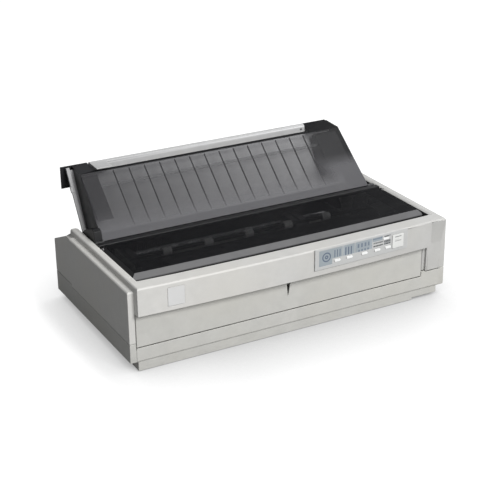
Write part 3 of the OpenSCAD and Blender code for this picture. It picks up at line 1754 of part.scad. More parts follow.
framed() parallel_port();
framed() port_clip_left();
framed() port_clip_right();
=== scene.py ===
import bpy, bmesh, json, math
from mathutils import Matrix, Vector


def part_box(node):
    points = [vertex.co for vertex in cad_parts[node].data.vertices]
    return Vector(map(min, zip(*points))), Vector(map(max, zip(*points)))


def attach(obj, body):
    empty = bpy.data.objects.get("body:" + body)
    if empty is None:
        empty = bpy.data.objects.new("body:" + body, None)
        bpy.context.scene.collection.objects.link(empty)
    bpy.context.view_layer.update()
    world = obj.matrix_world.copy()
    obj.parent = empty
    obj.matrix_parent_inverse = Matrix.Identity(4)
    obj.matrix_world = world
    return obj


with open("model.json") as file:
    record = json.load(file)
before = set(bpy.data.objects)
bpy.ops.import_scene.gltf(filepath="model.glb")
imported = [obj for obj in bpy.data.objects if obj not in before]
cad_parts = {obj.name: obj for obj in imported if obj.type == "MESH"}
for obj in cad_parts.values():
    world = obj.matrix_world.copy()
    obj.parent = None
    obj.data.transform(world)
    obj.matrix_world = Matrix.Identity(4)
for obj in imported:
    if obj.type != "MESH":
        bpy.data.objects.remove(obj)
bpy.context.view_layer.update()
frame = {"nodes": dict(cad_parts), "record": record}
nodes = frame["nodes"]

# ------------------------------------------------------------------ camera

PICTURE_WIDTH = 500                        # pixels
FOCAL_LENGTH = 1270.02                     # pixels
CAMERA_AT = (-0.97535, -1.77791, 0.97408)  # metres
YAW, PITCH, ROLL = math.radians(28.42), math.radians(23.64), math.radians(-0.553)

look = Vector((math.sin(YAW) * math.cos(PITCH), math.cos(YAW) * math.cos(PITCH), -math.sin(PITCH)))
right = Vector((math.cos(YAW), -math.sin(YAW), 0))
up = right.cross(look)
cam_x = math.cos(ROLL) * right + math.sin(ROLL) * up
cam_y = -math.sin(ROLL) * right + math.cos(ROLL) * up
cam_data = bpy.data.cameras.new("camera")
cam_data.sensor_width = 36
cam_data.lens = FOCAL_LENGTH / PICTURE_WIDTH * cam_data.sensor_width
cam_data.clip_start = 0.05
cam = bpy.data.objects.new("camera", cam_data)
bpy.context.scene.collection.objects.link(cam)
turn = Matrix((cam_x, cam_y, -look)).transposed().to_4x4()
cam.matrix_world = Matrix.Translation(CAMERA_AT) @ turn
bpy.context.scene.camera = cam

# ------------------------------------------------------------------ light

scene = bpy.context.scene
scene.view_settings.view_transform = "Standard"
world = bpy.data.worlds.new("studio")
scene.world = world
world.use_nodes = True
world_nodes, world_links = world.node_tree.nodes, world.node_tree.links
world_nodes.clear()
world_out = world_nodes.new("ShaderNodeOutputWorld")
ambient = world_nodes.new("ShaderNodeBackground")
ambient.inputs["Color"].default_value = (0.95, 0.97, 1.0, 1)
ambient.inputs["Strength"].default_value = 0.215
backdrop = world_nodes.new("ShaderNodeBackground")
backdrop.inputs["Color"].default_value = (1, 1, 1, 1)
backdrop.inputs["Strength"].default_value = 1.0
ray = world_nodes.new("ShaderNodeLightPath")
chosen = world_nodes.new("ShaderNodeMixShader")
world_links.new(ray.outputs["Is Camera Ray"], chosen.inputs[0])
world_links.new(ambient.outputs[0], chosen.inputs[1])
world_links.new(backdrop.outputs[0], chosen.inputs[2])
world_links.new(chosen.outputs[0], world_out.inputs["Surface"])


def area_light(name, place, target, size, power, colour=(1, 1, 1)):
    data = bpy.data.lights.new(name, "AREA")
    data.shape = "RECTANGLE"
    data.size, data.size_y = size
    data.energy = power
    data.color = colour
    lamp = bpy.data.objects.new(name, data)
    scene.collection.objects.link(lamp)
    aim = (Vector(target) - Vector(place)).to_track_quat("-Z", "Y")
    lamp.matrix_world = Matrix.Translation(place) @ aim.to_matrix().to_4x4()
    return lamp


area_light("key", (0.25, -2.95, 2.15), (0, 0, 0.08), (1.4, 1.5), 122)
area_light("back", (2.40, 1.50, 1.60), (0, 0, 0.1), (1.0, 1.0), 26)
area_light("top", (1.00, -0.20, 2.2), (0, 0, 0.1), (1.4, 1.4), 15)

# ------------------------------------------------------------------ shader building blocks


def node_tree(name):
    mat = bpy.data.materials.new(name)
    mat.use_nodes = True
    tree = mat.node_tree
    tree.nodes.clear()
    return mat, tree


def put(tree, value, socket):
    if isinstance(value, tuple):
        socket.default_value = (*value, 1) if len(value) == 3 and len(socket.default_value) == 4 else value
    elif isinstance(value, (int, float)):
        socket.default_value = (value, value, value, 1) if socket.type == "RGBA" else value
    else:
        tree.links.new(value, socket)


def coords(tree):
    """A CAD node's own coordinates: metres in the shared frame, so patterns stay where they are made."""
    return tree.nodes.new("ShaderNodeTexCoord").outputs["Object"]


def split(tree, vector):
    node = tree.nodes.new("ShaderNodeSeparateXYZ")
    tree.links.new(vector, node.inputs[0])
    return node.outputs["X"], node.outputs["Y"], node.outputs["Z"]


def sums(tree, operation, a, b=0.0, c=0.0, clamp=False):
    node = tree.nodes.new("ShaderNodeMath")
    node.operation = operation
    node.use_clamp = clamp
    put(tree, a, node.inputs[0])
    put(tree, b, node.inputs[1])
    put(tree, c, node.inputs[2])
    return node.outputs[0]


def noise(tree, source, scale, detail=3.0, rough=0.55):
    node = tree.nodes.new("ShaderNodeTexNoise")
    node.inputs["Scale"].default_value = scale
    node.inputs["Detail"].default_value = detail
    node.inputs["Roughness"].default_value = rough
    tree.links.new(source, node.inputs["Vector"])
    return node.outputs["Fac"]


def stretched(tree, source, scale):
    node = tree.nodes.new("ShaderNodeMapping")
    node.inputs["Scale"].default_value = scale
    tree.links.new(source, node.inputs["Vector"])
    return node.outputs[0]


def span(tree, source, low, high, from_low=0.0, from_high=1.0, smooth=False):
    node = tree.nodes.new("ShaderNodeMapRange")
    if smooth:
        node.interpolation_type = "SMOOTHSTEP"
    node.inputs["From Min"].default_value = from_low
    node.inputs["From Max"].default_value = from_high
    node.inputs["To Min"].default_value = low
    node.inputs["To Max"].default_value = high
    tree.links.new(source, node.inputs["Value"])
    return node.outputs["Result"]


def mix(tree, factor, a, b, blend="MIX"):
    node = tree.nodes.new("ShaderNodeMix")
    node.data_type = "RGBA"
    node.blend_type = blend
    put(tree, factor, node.inputs["Factor"])
    put(tree, a, node.inputs["A"])
    put(tree, b, node.inputs["B"])
    return node.outputs["Result"]


def bump(tree, height, distance, strength, normal=None):
    node = tree.nodes.new("ShaderNodeBump")
    node.inputs["Distance"].default_value = distance
    node.inputs["Strength"].default_value = strength
    tree.links.new(height, node.inputs["Height"])
    if normal is not None:
        tree.links.new(normal, node.inputs["Normal"])
    return node.outputs["Normal"]


def times(tree, a, b):
    return sums(tree, "MULTIPLY", a, b)


def strip(tree, value, low, high, soft):
    """1 where value lies between low and high, with edges as soft as soft."""
    up_side = span(tree, value, 0, 1, low - soft, low + soft, True)
    down_side = span(tree, value, 1, 0, high - soft, high + soft, True)
    return times(tree, up_side, down_side)


def window(tree, x, z, box, soft):
    return times(tree, strip(tree, x, box[0], box[2], soft), strip(tree, z, box[1], box[3], soft))


def combed(tree, value, first, pitch, width, soft):
    """1 on lines of the given width that repeat at a pitch."""
    phase = sums(tree, "WRAP", sums(tree, "SUBTRACT", value, first - pitch / 2), pitch, 0.0)
    return strip(tree, phase, pitch / 2 - width / 2, pitch / 2 + width / 2, soft)


def edges(tree, radius, low=0.80, high=0.995):
    """1 along an edge, where the rounded normal leaves the face's own."""
    round_off = tree.nodes.new("ShaderNodeBevel")
    round_off.samples = 4
    round_off.inputs["Radius"].default_value = radius
    face = tree.nodes.new("ShaderNodeNewGeometry")
    dot = tree.nodes.new("ShaderNodeVectorMath")
    dot.operation = "DOT_PRODUCT"
    tree.links.new(round_off.outputs[0], dot.inputs[0])
    tree.links.new(face.outputs["Normal"], dot.inputs[1])
    return span(tree, dot.outputs["Value"], 1, 0, low, high)


def surface(tree, colour, rough, normal=None, metallic=0.0, specular=0.5, alpha=None, coat=0.0):
    out = tree.nodes.new("ShaderNodeOutputMaterial")
    bsdf = tree.nodes.new("ShaderNodeBsdfPrincipled")
    bsdf.inputs["Metallic"].default_value = metallic
    bsdf.inputs["Specular IOR Level"].default_value = specular
    bsdf.inputs["Coat Weight"].default_value = coat
    put(tree, colour, bsdf.inputs["Base Color"])
    put(tree, rough, bsdf.inputs["Roughness"])
    if normal is not None:
        tree.links.new(normal, bsdf.inputs["Normal"])
    if alpha is not None:
        put(tree, alpha, bsdf.inputs["Alpha"])
    tree.links.new(bsdf.outputs[0], out.inputs["Surface"])
    return bsdf


def shade(colour, by):
    return tuple(min(1.0, c * by) for c in colour)


def plastic(name, colour, rough=0.5, grain=900, depth=0.00005, strength=0.35, mottle=0.05, dust=0.0,
            specular=0.4, wear=0.0, wear_tone=1.12, extra=None, alpha=None, coat=0.0):
    """Moulded plastic: spark-eroded grain, slow tone changes, worn edges, and dust on what faces up."""
    mat, tree = node_tree(name)
    place = coords(tree)
    slow = noise(tree, place, 9, 4)
    cloud = noise(tree, place, 55, 5)
    streak = noise(tree, stretched(tree, place, (14, 14, 120)), 3, 3, 0.6)
    warm = (colour[0], colour[1] * (1 - mottle * 0.22), colour[2] * (1 - mottle * 0.8))
    patches = span(tree, cloud, 0, 1, 0.3, 0.7)
    base = mix(tree, patches, shade(colour, 1 - mottle), shade(colour, 1 + mottle * 0.6))
    base = mix(tree, span(tree, slow, 0, 0.6, 0.42, 0.66), base, warm)
    speck = noise(tree, place, grain * 0.55, 2)
    base = mix(tree, span(tree, speck, 0, mottle * 1.8, 0.45, 0.75), base, shade(colour, 0.78))
    base = mix(tree, span(tree, streak, 0, mottle * 1.2, 0.5, 0.8), base, shade(colour, 0.85))
    roughness = span(tree, cloud, rough - 0.06, rough + 0.08, 0.3, 0.7)
    if dust:
        facing = tree.nodes.new("ShaderNodeNewGeometry")
        flat = span(tree, split(tree, facing.outputs["Normal"])[2], 0, dust, 0.6, 1.0)
        base = mix(tree, times(tree, flat, span(tree, cloud, 0.2, 1, 0.35, 0.65)), base, (0.60, 0.59, 0.56))
    if wear:
        rubbed = times(tree, edges(tree, 0.0016), span(tree, cloud, wear * 0.35, wear, 0.35, 0.62))
        base = mix(tree, rubbed, base, shade(colour, wear_tone))
        roughness = mix(tree, rubbed, roughness, max(0.12, rough - 0.16))
    if extra:
        base, roughness = extra(tree, place, base, roughness)
    fine = noise(tree, place, grain, 2, 0.6)
    wave = noise(tree, place, 30, 2)
    normal = bump(tree, fine, depth, strength, bump(tree, wave, 0.0004, 0.12))
    surface(tree, base, roughness, normal, 0.0, specular, alpha, coat)
    return mat


def metal(name, colour, rough=0.3, stretch=(4, 300, 300), strength=0.15, blotch=0.06, specular=0.5):
    """Drawn or rolled metal with lines along one axis and a few duller patches."""
    mat, tree = node_tree(name)
    place = coords(tree)
    lines = noise(tree, stretched(tree, place, stretch), 6, 4, 0.7)
    cloud = noise(tree, place, 60, 4)
    base = mix(tree, span(tree, cloud, 0, 1, 0.3, 0.7), shade(colour, 1 - blotch), colour)
    base = mix(tree, span(tree, lines, 0, 0.3, 0.4, 0.7), base, shade(colour, 0.7))
    rubbed = times(tree, edges(tree, 0.0008), span(tree, cloud, 0.1, 0.6, 0.35, 0.65))
    base = mix(tree, rubbed, base, shade(colour, 1.25))
    rough_out = span(tree, lines, rough - 0.08, rough + 0.14, 0.3, 0.7)
    rough_out = sums(tree, "ADD", rough_out, span(tree, cloud, 0.0, 0.10, 0.45, 0.7))
    surface(tree, base, rough_out, bump(tree, lines, 0.00003, strength), 1.0, specular)
    return mat


def galvanised(name, colour):
    """Zinc-coated sheet: crystal patches with slightly different tone and gloss."""
    mat, tree = node_tree(name)
    place = coords(tree)
    cells = tree.nodes.new("ShaderNodeTexVoronoi")
    cells.inputs["Scale"].default_value = 160
    wobble = noise(tree, place, 90, 3)
    shift = tree.nodes.new("ShaderNodeVectorMath")
    shift.operation = "ADD"
    tree.links.new(place, shift.inputs[0])
    normal = tree.nodes.new("ShaderNodeTexCoord").outputs["Normal"]
    tree.links.new(stretched(tree, normal, (0.001, 0.001, 0.001)), shift.inputs[1])
    tree.links.new(shift.outputs[0], cells.inputs["Vector"])
    tone = split(tree, cells.outputs["Color"])[0]
    base = mix(tree, tone, shade(colour, 0.82), colour)
    base = mix(tree, span(tree, wobble, 0, 0.35, 0.5, 0.75), base, shade(colour, 0.7))
    rough_out = span(tree, tone, 0.32, 0.50)
    lines = noise(tree, stretched(tree, place, (3, 40, 200)), 6, 3, 0.7)
    surface(tree, base, rough_out, bump(tree, lines, 0.00003, 0.12), 1.0, 0.5)
    return mat


def smoked(name, tint, alpha, rough, grain, strength, extra=None, specular=0.5, smear=0.03):
    """Smoked clear plastic: a tinted sheet that lets a part of the light through, with faint smears."""
    mat, tree = node_tree(name)
    place = coords(tree)
    cloud = noise(tree, place, 40, 4)
    smears = noise(tree, stretched(tree, place, (3, 16, 16)), 6, 4, 0.6)
    base = mix(tree, span(tree, cloud, 0, 1, 0.3, 0.7), shade(tint, 0.88), tint)
    base = mix(tree, span(tree, smears, 0, smear * 4, 0.5, 0.8), base, tuple(c + smear for c in tint))
    roughness = span(tree, smears, rough - 0.04, rough + 0.10, 0.3, 0.7)
    clear = span(tree, cloud, alpha - 0.015, alpha + 0.015, 0.3, 0.7)
    rubbed = times(tree, edges(tree, 0.0014), span(tree, cloud, 0.15, 0.5, 0.35, 0.62))
    base = mix(tree, rubbed, base, tuple(c + 0.05 for c in tint))
    if extra:
        base, roughness, clear = extra(tree, place, base, roughness, clear)
    fine = noise(tree, place, grain, 2, 0.6)
    normal = bump(tree, fine, 0.00004, strength, bump(tree, cloud, 0.0003, 0.05))
    surface(tree, base, roughness, normal, 0.0, specular, clear)
    return mat


# ------------------------------------------------------------------ floor


def make_floor():
    """A pale sheet, white to the camera away from the object, with painted shadow where the object covers
    it.

    The strip at the object's left is lightened and the one before it darkened, to match the picture.
    """
    mesh = bpy.data.meshes.new("floor")
    bm = bmesh.new()
    bmesh.ops.create_grid(bm, x_segments=2, y_segments=2, size=6)
    bm.to_mesh(mesh)
    bm.free()
    floor = bpy.data.objects.new("floor", mesh)
    scene.collection.objects.link(floor)
    floor.location = (0, 0, -0.0002)
    mat, tree = node_tree("floor_white")
    out = tree.nodes.new("ShaderNodeOutputMaterial")
    diffuse = tree.nodes.new("ShaderNodeBsdfDiffuse")
    path = tree.nodes.new("ShaderNodeLightPath").outputs["Is Camera Ray"]
    tree.links.new(mix(tree, path, (0.30, 0.30, 0.30), (0.20, 0.20, 0.20)), diffuse.inputs["Color"])
    # Painted shadow: the glow dims where the object covers the floor.
    covered = tree.nodes.new("ShaderNodeAmbientOcclusion")
    covered.samples = 8
    covered.inputs["Distance"].default_value = 0.20
    open_sky = span(tree, covered.outputs["AO"], 0.24, 0.97, 0.0, 1.0)
    x, y, z = split(tree, coords(tree))
    # Painted light on the strip at the object's left, painted shade on the strip before it.
    lit_left = span(tree, x, 0.13, 0, -0.375, -0.338, True)
    shaded_front = span(tree, y, 0, 0.075, -0.36, -0.22, True)
    for fade in (span(tree, x, 0.25, 1, -0.24, -0.12, True), span(tree, x, 1, 0, 0.27, 0.38, True),
                 span(tree, y, 1, 0, -0.17, -0.10, True)):
        shaded_front = times(tree, shaded_front, fade)
    open_sky = sums(tree, "SUBTRACT", sums(tree, "ADD", open_sky, lit_left, clamp=True), shaded_front)
    glow = tree.nodes.new("ShaderNodeEmission")
    glow.inputs["Color"].default_value = (1, 1, 1, 1)
    tree.links.new(times(tree, path, open_sky), glow.inputs["Strength"])
    add = tree.nodes.new("ShaderNodeAddShader")
    tree.links.new(diffuse.outputs[0], add.inputs[0])
    tree.links.new(glow.outputs[0], add.inputs[1])
    tree.links.new(add.outputs[0], out.inputs["Surface"])
    mesh.materials.append(mat)


make_floor()

# ------------------------------------------------------------------ materials

CASE = (0.640, 0.632, 0.608)
DOOR = (0.545, 0.540, 0.512)
LIGHT = (0.67, 0.665, 0.65)
# Surface grain: noise scale, bump distance in metres, bump strength
MOULDED, MATT = (1100, 0.00005, 0.4), (1300, 0.00004, 0.3)
SATIN, SMOOTH, SHEETED = (1300, 0.00004, 0.25), (1500, 0.00003, 0.2), (1400, 0.00003, 0.2)


def rubbed_foot(tree, place, base, roughness):
    """Shoe and cloth marks near the bottom edge of the case."""
    z = split(tree, place)[2]
    low = span(tree, z, 1, 0, 0.0, 0.022, True)
    marks = noise(tree, stretched(tree, place, (8, 8, 60)), 8, 4, 0.7)
    mask = times(tree, low, span(tree, marks, 0, 0.22, 0.45, 0.7))
    return mix(tree, mask, base, (0.30, 0.29, 0.27)), roughness


def case_painted_shade_and_foot_marks(tree, place, base, roughness):
    """A little darker towards the right end as painted shade, and marked at the foot."""
    x = split(tree, place)[0]
    # Painted shade: the case darkens towards its right end.
    darker = span(tree, x, 0, 1, -0.26, 0.20)
    base = mix(tree, darker, base, (0.815, 0.82, 0.83), "MULTIPLY")
    return rubbed_foot(tree, place, base, roughness)


def from_corner(tree, place, node):
    """x and z from the lowest left corner of a CAD node, where its printed marks are measured from."""
    x, y, z = split(tree, place)
    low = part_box(node)[0]
    return sums(tree, "SUBTRACT", x, low.x), sums(tree, "SUBTRACT", z, low.z)


# Upright lines: their field (left, foot, right, head), first line, pitch, line width, strength of the ink
LEGEND_LINES = (
    ((0.0285, 0.0110, 0.0435, 0.0240), 0.0300, 0.0050, 0.0020, 0.75),
    ((0.0495, 0.0095, 0.0665, 0.0240), 0.0515, 0.0054, 0.0022, 0.85),
    ((0.0745, 0.0170, 0.0985, 0.0240), 0.0765, 0.0070, 0.0034, 0.65),
    ((0.0745, 0.0095, 0.0985, 0.0135), 0.0780, 0.0060, 0.0026, 0.75))
RING_CENTRE = (0.0140, 0.0145)
RING_PITCH, RING_BAND, RING_OUTSIDE = 0.0050, (0.0012, 0.0034), 0.0108
INK, DEEP_INK, PALE_INK = (0.085, 0.115, 0.175), (0.035, 0.035, 0.045), (0.50, 0.56, 0.62)
# Plain bars: (left, foot, right, head), softness of the edge, strength, ink
LEGEND_BARS = (
    ((0.0475, 0.0010, 0.0482, 0.0270), 0.0002, 0.8, PALE_INK),
    ((0.0695, 0.0010, 0.0702, 0.0270), 0.0002, 0.8, PALE_INK),
    ((0.1015, 0.0010, 0.1022, 0.0270), 0.0002, 0.8, PALE_INK),
    ((0.1035, 0.0145, 0.1250, 0.0162), 0.0003, 0.9, DEEP_INK),
    ((0.1035, 0.0102, 0.1250, 0.0119), 0.0003, 0.9, DEEP_INK),
    ((0.1035, 0.0242, 0.1250, 0.0262), 0.0003, 0.5, INK))


def legend_print(tree, place, base, roughness):
    """Plain printed fields: rings, bars and ticks that name nothing."""
    x, z = from_corner(tree, place, "legend_plate")
    away_x = sums(tree, "SUBTRACT", x, RING_CENTRE[0])
    away_z = sums(tree, "SUBTRACT", z, RING_CENTRE[1])
    away = sums(tree, "ADD", times(tree, away_x, away_x), times(tree, away_z, away_z))
    far = sums(tree, "SQRT", away)
    ring = strip(tree, sums(tree, "WRAP", far, RING_PITCH, 0.0), *RING_BAND, 0.0003)
    disc = span(tree, far, 1, 0, RING_OUTSIDE - 0.0004, RING_OUTSIDE + 0.0004)
    base = mix(tree, times(tree, times(tree, ring, disc), 0.85), base, INK)
    for box, first, pitch, width, strength in LEGEND_LINES:
        lines = combed(tree, x, first, pitch, width, 0.0002)
        field = times(tree, window(tree, x, z, box, 0.0002), lines)
        base = mix(tree, times(tree, field, strength), base, INK)
    for box, soft, strength, ink in LEGEND_BARS:
        base = mix(tree, times(tree, window(tree, x, z, box, soft), strength), base, ink)
    return base, roughness


def lamp_rows(tree, place, base, roughness):
    """Rows of dark lens windows with paler surrounds between them."""
    x, z = from_corner(tree, place, "indicator_lamps")
    rows = combed(tree, z, 0.0018, 0.0044, 0.0017, 0.0002)
    cells = combed(tree, x, 0.0020, 0.0068, 0.0056, 0.0002)
    return mix(tree, times(tree, times(tree, rows, cells), 0.9), base, (0.05, 0.055, 0.06)), roughness


# Faint bars on the large button: (left, foot, right, head), strength
PAUSE_BARS = (
    ((0.0058, 0.0198, 0.0190, 0.0213), 0.75),
    ((0.0058, 0.0123, 0.0190, 0.0139), 0.55),
    ((0.0058, 0.0151, 0.0138, 0.0159), 0.35))


def pause_marks(tree, place, base, roughness):
    x, z = from_corner(tree, place, "pause_button")
    for box, strength in PAUSE_BARS:
        base = mix(tree, times(tree, window(tree, x, z, box, 0.0003), strength), base, (0.09, 0.09, 0.10))
    return base, roughness


def turned(tree, place, base, roughness):
    """Fine rings round the axis along X, as ground rubber shows."""
    rings = noise(tree, stretched(tree, place, (900, 6, 6)), 1.6, 2, 0.6)
    return mix(tree, span(tree, rings, 0, 0.35, 0.4, 0.7), base, (0.06, 0.06, 0.062)), roughness


def tracks(tree, place, base, roughness):
    """Copper tracks and tinned pads under the green lacquer."""
    pin_pitch = 0.00508
    x, y, z = split(tree, place)
    wander = noise(tree, stretched(tree, place, (30, 30, 30)), 1.2, 0)
    step = times(tree, sums(tree, "GREATER_THAN", wander, 0.5), 0.0012)
    lanes = combed(tree, sums(tree, "ADD", x, step), 0.0, 0.0024, 0.0009, 0.0001)
    rows = combed(tree, y, 0.0, 0.0051, 0.0011, 0.0001)
    lengthways = times(tree, lanes, span(tree, wander, 0, 1, 0.44, 0.46))
    across = times(tree, rows, span(tree, wander, 1, 0, 0.44, 0.46))
    base = mix(tree, sums(tree, "MAXIMUM", lengthways, across), base, (0.035, 0.19, 0.075))
    pad_x = combed(tree, x, 0.0006, pin_pitch, 0.0014, 0.0002)
    pad_y = combed(tree, y, 0.001, pin_pitch, 0.0014, 0.0002)
    fitted = span(tree, noise(tree, place, 60, 0), 0, 1, 0.52, 0.54)
    pads = times(tree, times(tree, pad_x, pad_y), fitted)
    return mix(tree, pads, base, (0.55, 0.55, 0.53)), mix(tree, pads, roughness, 0.3)


def hood_painted_foot_light_and_dark_right(tree, place, base, roughness, clear):
    """Painted light: lighter and less clear towards the foot. Also darker at the right end."""
    x, y, z = split(tree, place)
    foot = span(tree, y, 1, 0, 0.040, 0.080, True)
    right_end = span(tree, x, 0, 1, 0.150, 0.205, True)
    corner = times(tree, right_end, span(tree, y, 1, 0, 0.068, 0.094, True))
    low = sums(tree, "MAXIMUM", foot, corner)
    base = mix(tree, span(tree, x, 0, 1, 0.165, 0.205, True), base, (0.030, 0.030, 0.032))
    # Painted light: a paler, less clear foot and lower right corner.
    base = mix(tree, times(tree, low, 0.95), base, (0.125, 0.124, 0.132))
    return base, roughness, sums(tree, "ADD", clear, times(tree, low, 0.30))


def lip_shadow(tree, place, base, roughness):
    """A dark line along the lip's lower edge, as in the picture."""
    z = split(tree, place)[2]
    return mix(tree, span(tree, z, 0.92, 0, 0.1412, 0.1426, True), base, (0.012, 0.012, 0.013)), roughness


def plate_painted_light(tree, place, base, roughness):
    """Painted light and shade: darker at the left end, lighter towards the right end, seen through the
    smoked face.
    """
    x = split(tree, place)[0]
    return mix(tree, span(tree, x, 0, 1, -0.25, 0.22), (0.30, 0.30, 0.305), (0.84, 0.84, 0.85)), roughness


LOOKS = {
    # The case gets painted shade towards its right end.
    "case": plastic("case_plastic_grain", CASE, 0.5, *MOULDED, 0.05, dust=0.08, wear=0.5,
        extra=case_painted_shade_and_foot_marks),
    "door": plastic("door_plastic_grain", DOOR, 0.5, *MOULDED, 0.05, wear=0.5, extra=rubbed_foot),
    # Painted shade for the case's inner walls below the covers.
    "well": plastic("well_painted_shade", (0.022, 0.022, 0.024), 0.55, *MOULDED, 0.12, wear=0.2),
    "light": plastic("light_plastic_satin", LIGHT, 0.42, *SATIN, 0.04, wear=0.4),
    "bezel": plastic("bezel_plastic_satin", (0.515, 0.519, 0.515), 0.42, *SATIN, 0.03, wear=0.5,
        wear_tone=1.25),
    "button": plastic("button_plastic", (0.86, 0.865, 0.86), 0.36, *SMOOTH, 0.03, wear=0.3, coat=0.15),
    "pause": plastic("pause_plastic", (0.72, 0.725, 0.71), 0.40, *SMOOTH, 0.03, wear=0.4,
        extra=pause_marks),
    "badge": plastic("badge_satin", (0.665, 0.665, 0.660), 0.34, 1700, 0.00003, 0.2, 0.03, wear=0.6,
        wear_tone=0.8, coat=0.2),
    "cover": smoked("smoked_cover", (0.004, 0.004, 0.005), 0.74, 0.24, 1500, 0.10, specular=0.12,
        smear=0.004),
    "cover_in": smoked("smoked_cover_inside", (0.006, 0.006, 0.007), 0.30, 0.35, 1500, 0.10,
        specular=0.15, smear=0.004),
    "wall": plastic("smoked_cover_wall", (0.012, 0.012, 0.013), 0.34, *SMOOTH, 0.1, wear=0.3,
        wear_tone=4),
    # The lip's grey is painted reflection on the cover's sloped front edge, with a painted shadow along its
    # lower edge.
    "lip": plastic("lip_painted_reflection", (0.122, 0.122, 0.125), 0.40, *MATT, 0.06, wear=0.5, wear_tone=1.5,
        extra=lip_shadow),
    # The hood's face gets painted light towards its foot and is darker at its right end.
    "face": smoked("smoked_face", (0.052, 0.051, 0.056), 0.42, 0.33, 1400, 0.22, extra=hood_painted_foot_light_and_dark_right,
        specular=0.3, smear=0.008),
    "face_in": smoked("smoked_face_inside", (0.04, 0.04, 0.044), 0.22, 0.40, 1400, 0.2, specular=0.2,
        smear=0.008),
    "guide": plastic("smoked_guide_grain", (0.017, 0.017, 0.019), 0.36, *MATT, 0.10, wear=0.5,
        wear_tone=2.6),
    "dark": plastic("dark_plastic_grain", (0.026, 0.026, 0.028), 0.42, 1200, 0.00004, 0.3, 0.12,
        dust=0.03, wear=0.35, wear_tone=2.6),
    "frame": plastic("frame_plastic", (0.50, 0.50, 0.50), 0.40, *SHEETED, 0.05, wear=0.5, coat=0.1),
    # The guide's plate gets painted light and shade, lighter towards its right end.
    "plate": plastic("frame_plate_matt", (0.50, 0.50, 0.505), 0.75, *SHEETED, 0.05, specular=0.1,
        extra=plate_painted_light),
    # Painted shade on the ledge between the guide's face and its top bar.
    "ledge": plastic("guide_ledge_painted_shade", (0.006, 0.006, 0.007), 0.6, *MATT, 0.10, specular=0.1),
    "rail": plastic("guide_rail_clear", (0.42, 0.42, 0.43), 0.35, *MATT, 0.06, wear=0.3, alpha=0.22),
    "strip": plastic("frame_strip_plastic", (0.34, 0.34, 0.345), 0.45, *SHEETED, 0.05, wear=0.5),
    "rubber": plastic("rubber_ground", (0.022, 0.022, 0.024), 0.75, 1600, 0.00005, 0.5, 0.15,
        specular=0.25, extra=turned),
    "foot": plastic("foot_rubber", (0.035, 0.035, 0.037), 0.8, 1400, 0.00006, 0.6, 0.2, specular=0.2),
    "roller": plastic("bail_roller_rubber", (0.72, 0.72, 0.73), 0.6, 1600, 0.00005, 0.4, 0.10,
        specular=0.3),
    "steel": metal("steel_drawn", (0.50, 0.50, 0.51), 0.28),
    "shaft": metal("steel_ground", (0.56, 0.56, 0.57), 0.22, (3, 300, 300), 0.10, 0.04),
    "motor": metal("motor_steel", (0.20, 0.20, 0.205), 0.38, (200, 8, 200), 0.12, 0.1),
    "zinc": galvanised("zinc_sheet", (0.36, 0.37, 0.37)),
    "black_steel": plastic("steel_black_enamel", (0.014, 0.014, 0.015), 0.38, *MATT, 0.12, wear=0.5,
        wear_tone=5, specular=0.3),
    "hinge": plastic("hinge_bar_grain", (0.010, 0.010, 0.011), 0.40, *MATT, 0.12, wear=0.3,
        wear_tone=3, specular=0.3),
    "gear": plastic("gear_nylon", (0.62, 0.60, 0.54), 0.38, *SMOOTH, 0.05, wear=0.5, wear_tone=1.2),
    "board": plastic("board_lacquer", (0.014, 0.085, 0.038), 0.3, 700, 0.00003, 0.2, 0.10,
        extra=tracks, coat=0.3),
    "legend": plastic("legend_print", (0.325, 0.365, 0.395), 0.42, 1500, 0.00003, 0.15, 0.05,
        extra=legend_print),
    "lamp": plastic("lamp_lens", (0.30, 0.31, 0.32), 0.2, 1500, 0.00002, 0.1, 0.15, extra=lamp_rows,
        coat=0.4),
    # A dark sheet put behind the rear cooling slots as painted shade.
    "screen": plastic("vent_painted_shade", (0.020, 0.020, 0.022), 0.85, 700, 0.00008, 0.7, 0.25,
        specular=0.15),
    "belt": plastic("belt_rubber", (0.02, 0.02, 0.021), 0.7, 1400, 0.00005, 0.4, 0.1),
}
# The look of each of the record's material slots
SLOT_LOOK = {
    "case_plastic": "case", "light_plastic": "light", "smoked_plastic": "cover", "guide_plastic": "guide",
    "dark_plastic": "dark", "rubber": "rubber", "steel": "steel", "zinc_sheet": "zinc",
    "gear_plastic": "gear", "circuit_board": "board", "legend": "legend", "belt": "belt",
}
# Nodes that look different from their slot
OWN_LOOK = {
    "front_door": "door", "lower_case": "door", "control_bezel": "bezel", "badge_plate": "badge",
    "pause_button": "pause", "bail_rollers": "roller", "carriage_shaft": "shaft", "guide_rod": "shaft",
    "platen_shaft": "shaft", "tractor_rail": "shaft", "edge_guide_rail": "rail", "feet": "foot",
    "paper_bail": "black_steel", "paper_chute": "black_steel", "hinge_bar": "hinge", "feed_motor": "motor",
    "carriage_motor": "motor", "indicator_lamps": "lamp", "guide_frame": "frame",
    **{"panel_button_%d" % i: "button" for i in range(1, 7)},
}
for part in frame["record"]["subparts"]:
    ob = nodes[part["node"]]
    ob.data.materials.clear()
    ob.data.materials.append(LOOKS[OWN_LOOK.get(part["node"], SLOT_LOOK[part["material_slot"]])])


def paint(name, look_name, test):
    """Gives the faces that pass the test another material."""
    mesh = nodes[name].data
    mesh.materials.append(LOOKS[look_name])
    index = len(mesh.materials) - 1
    for poly in mesh.polygons:
        if test(poly.center, poly.normal):
            poly.material_index = index


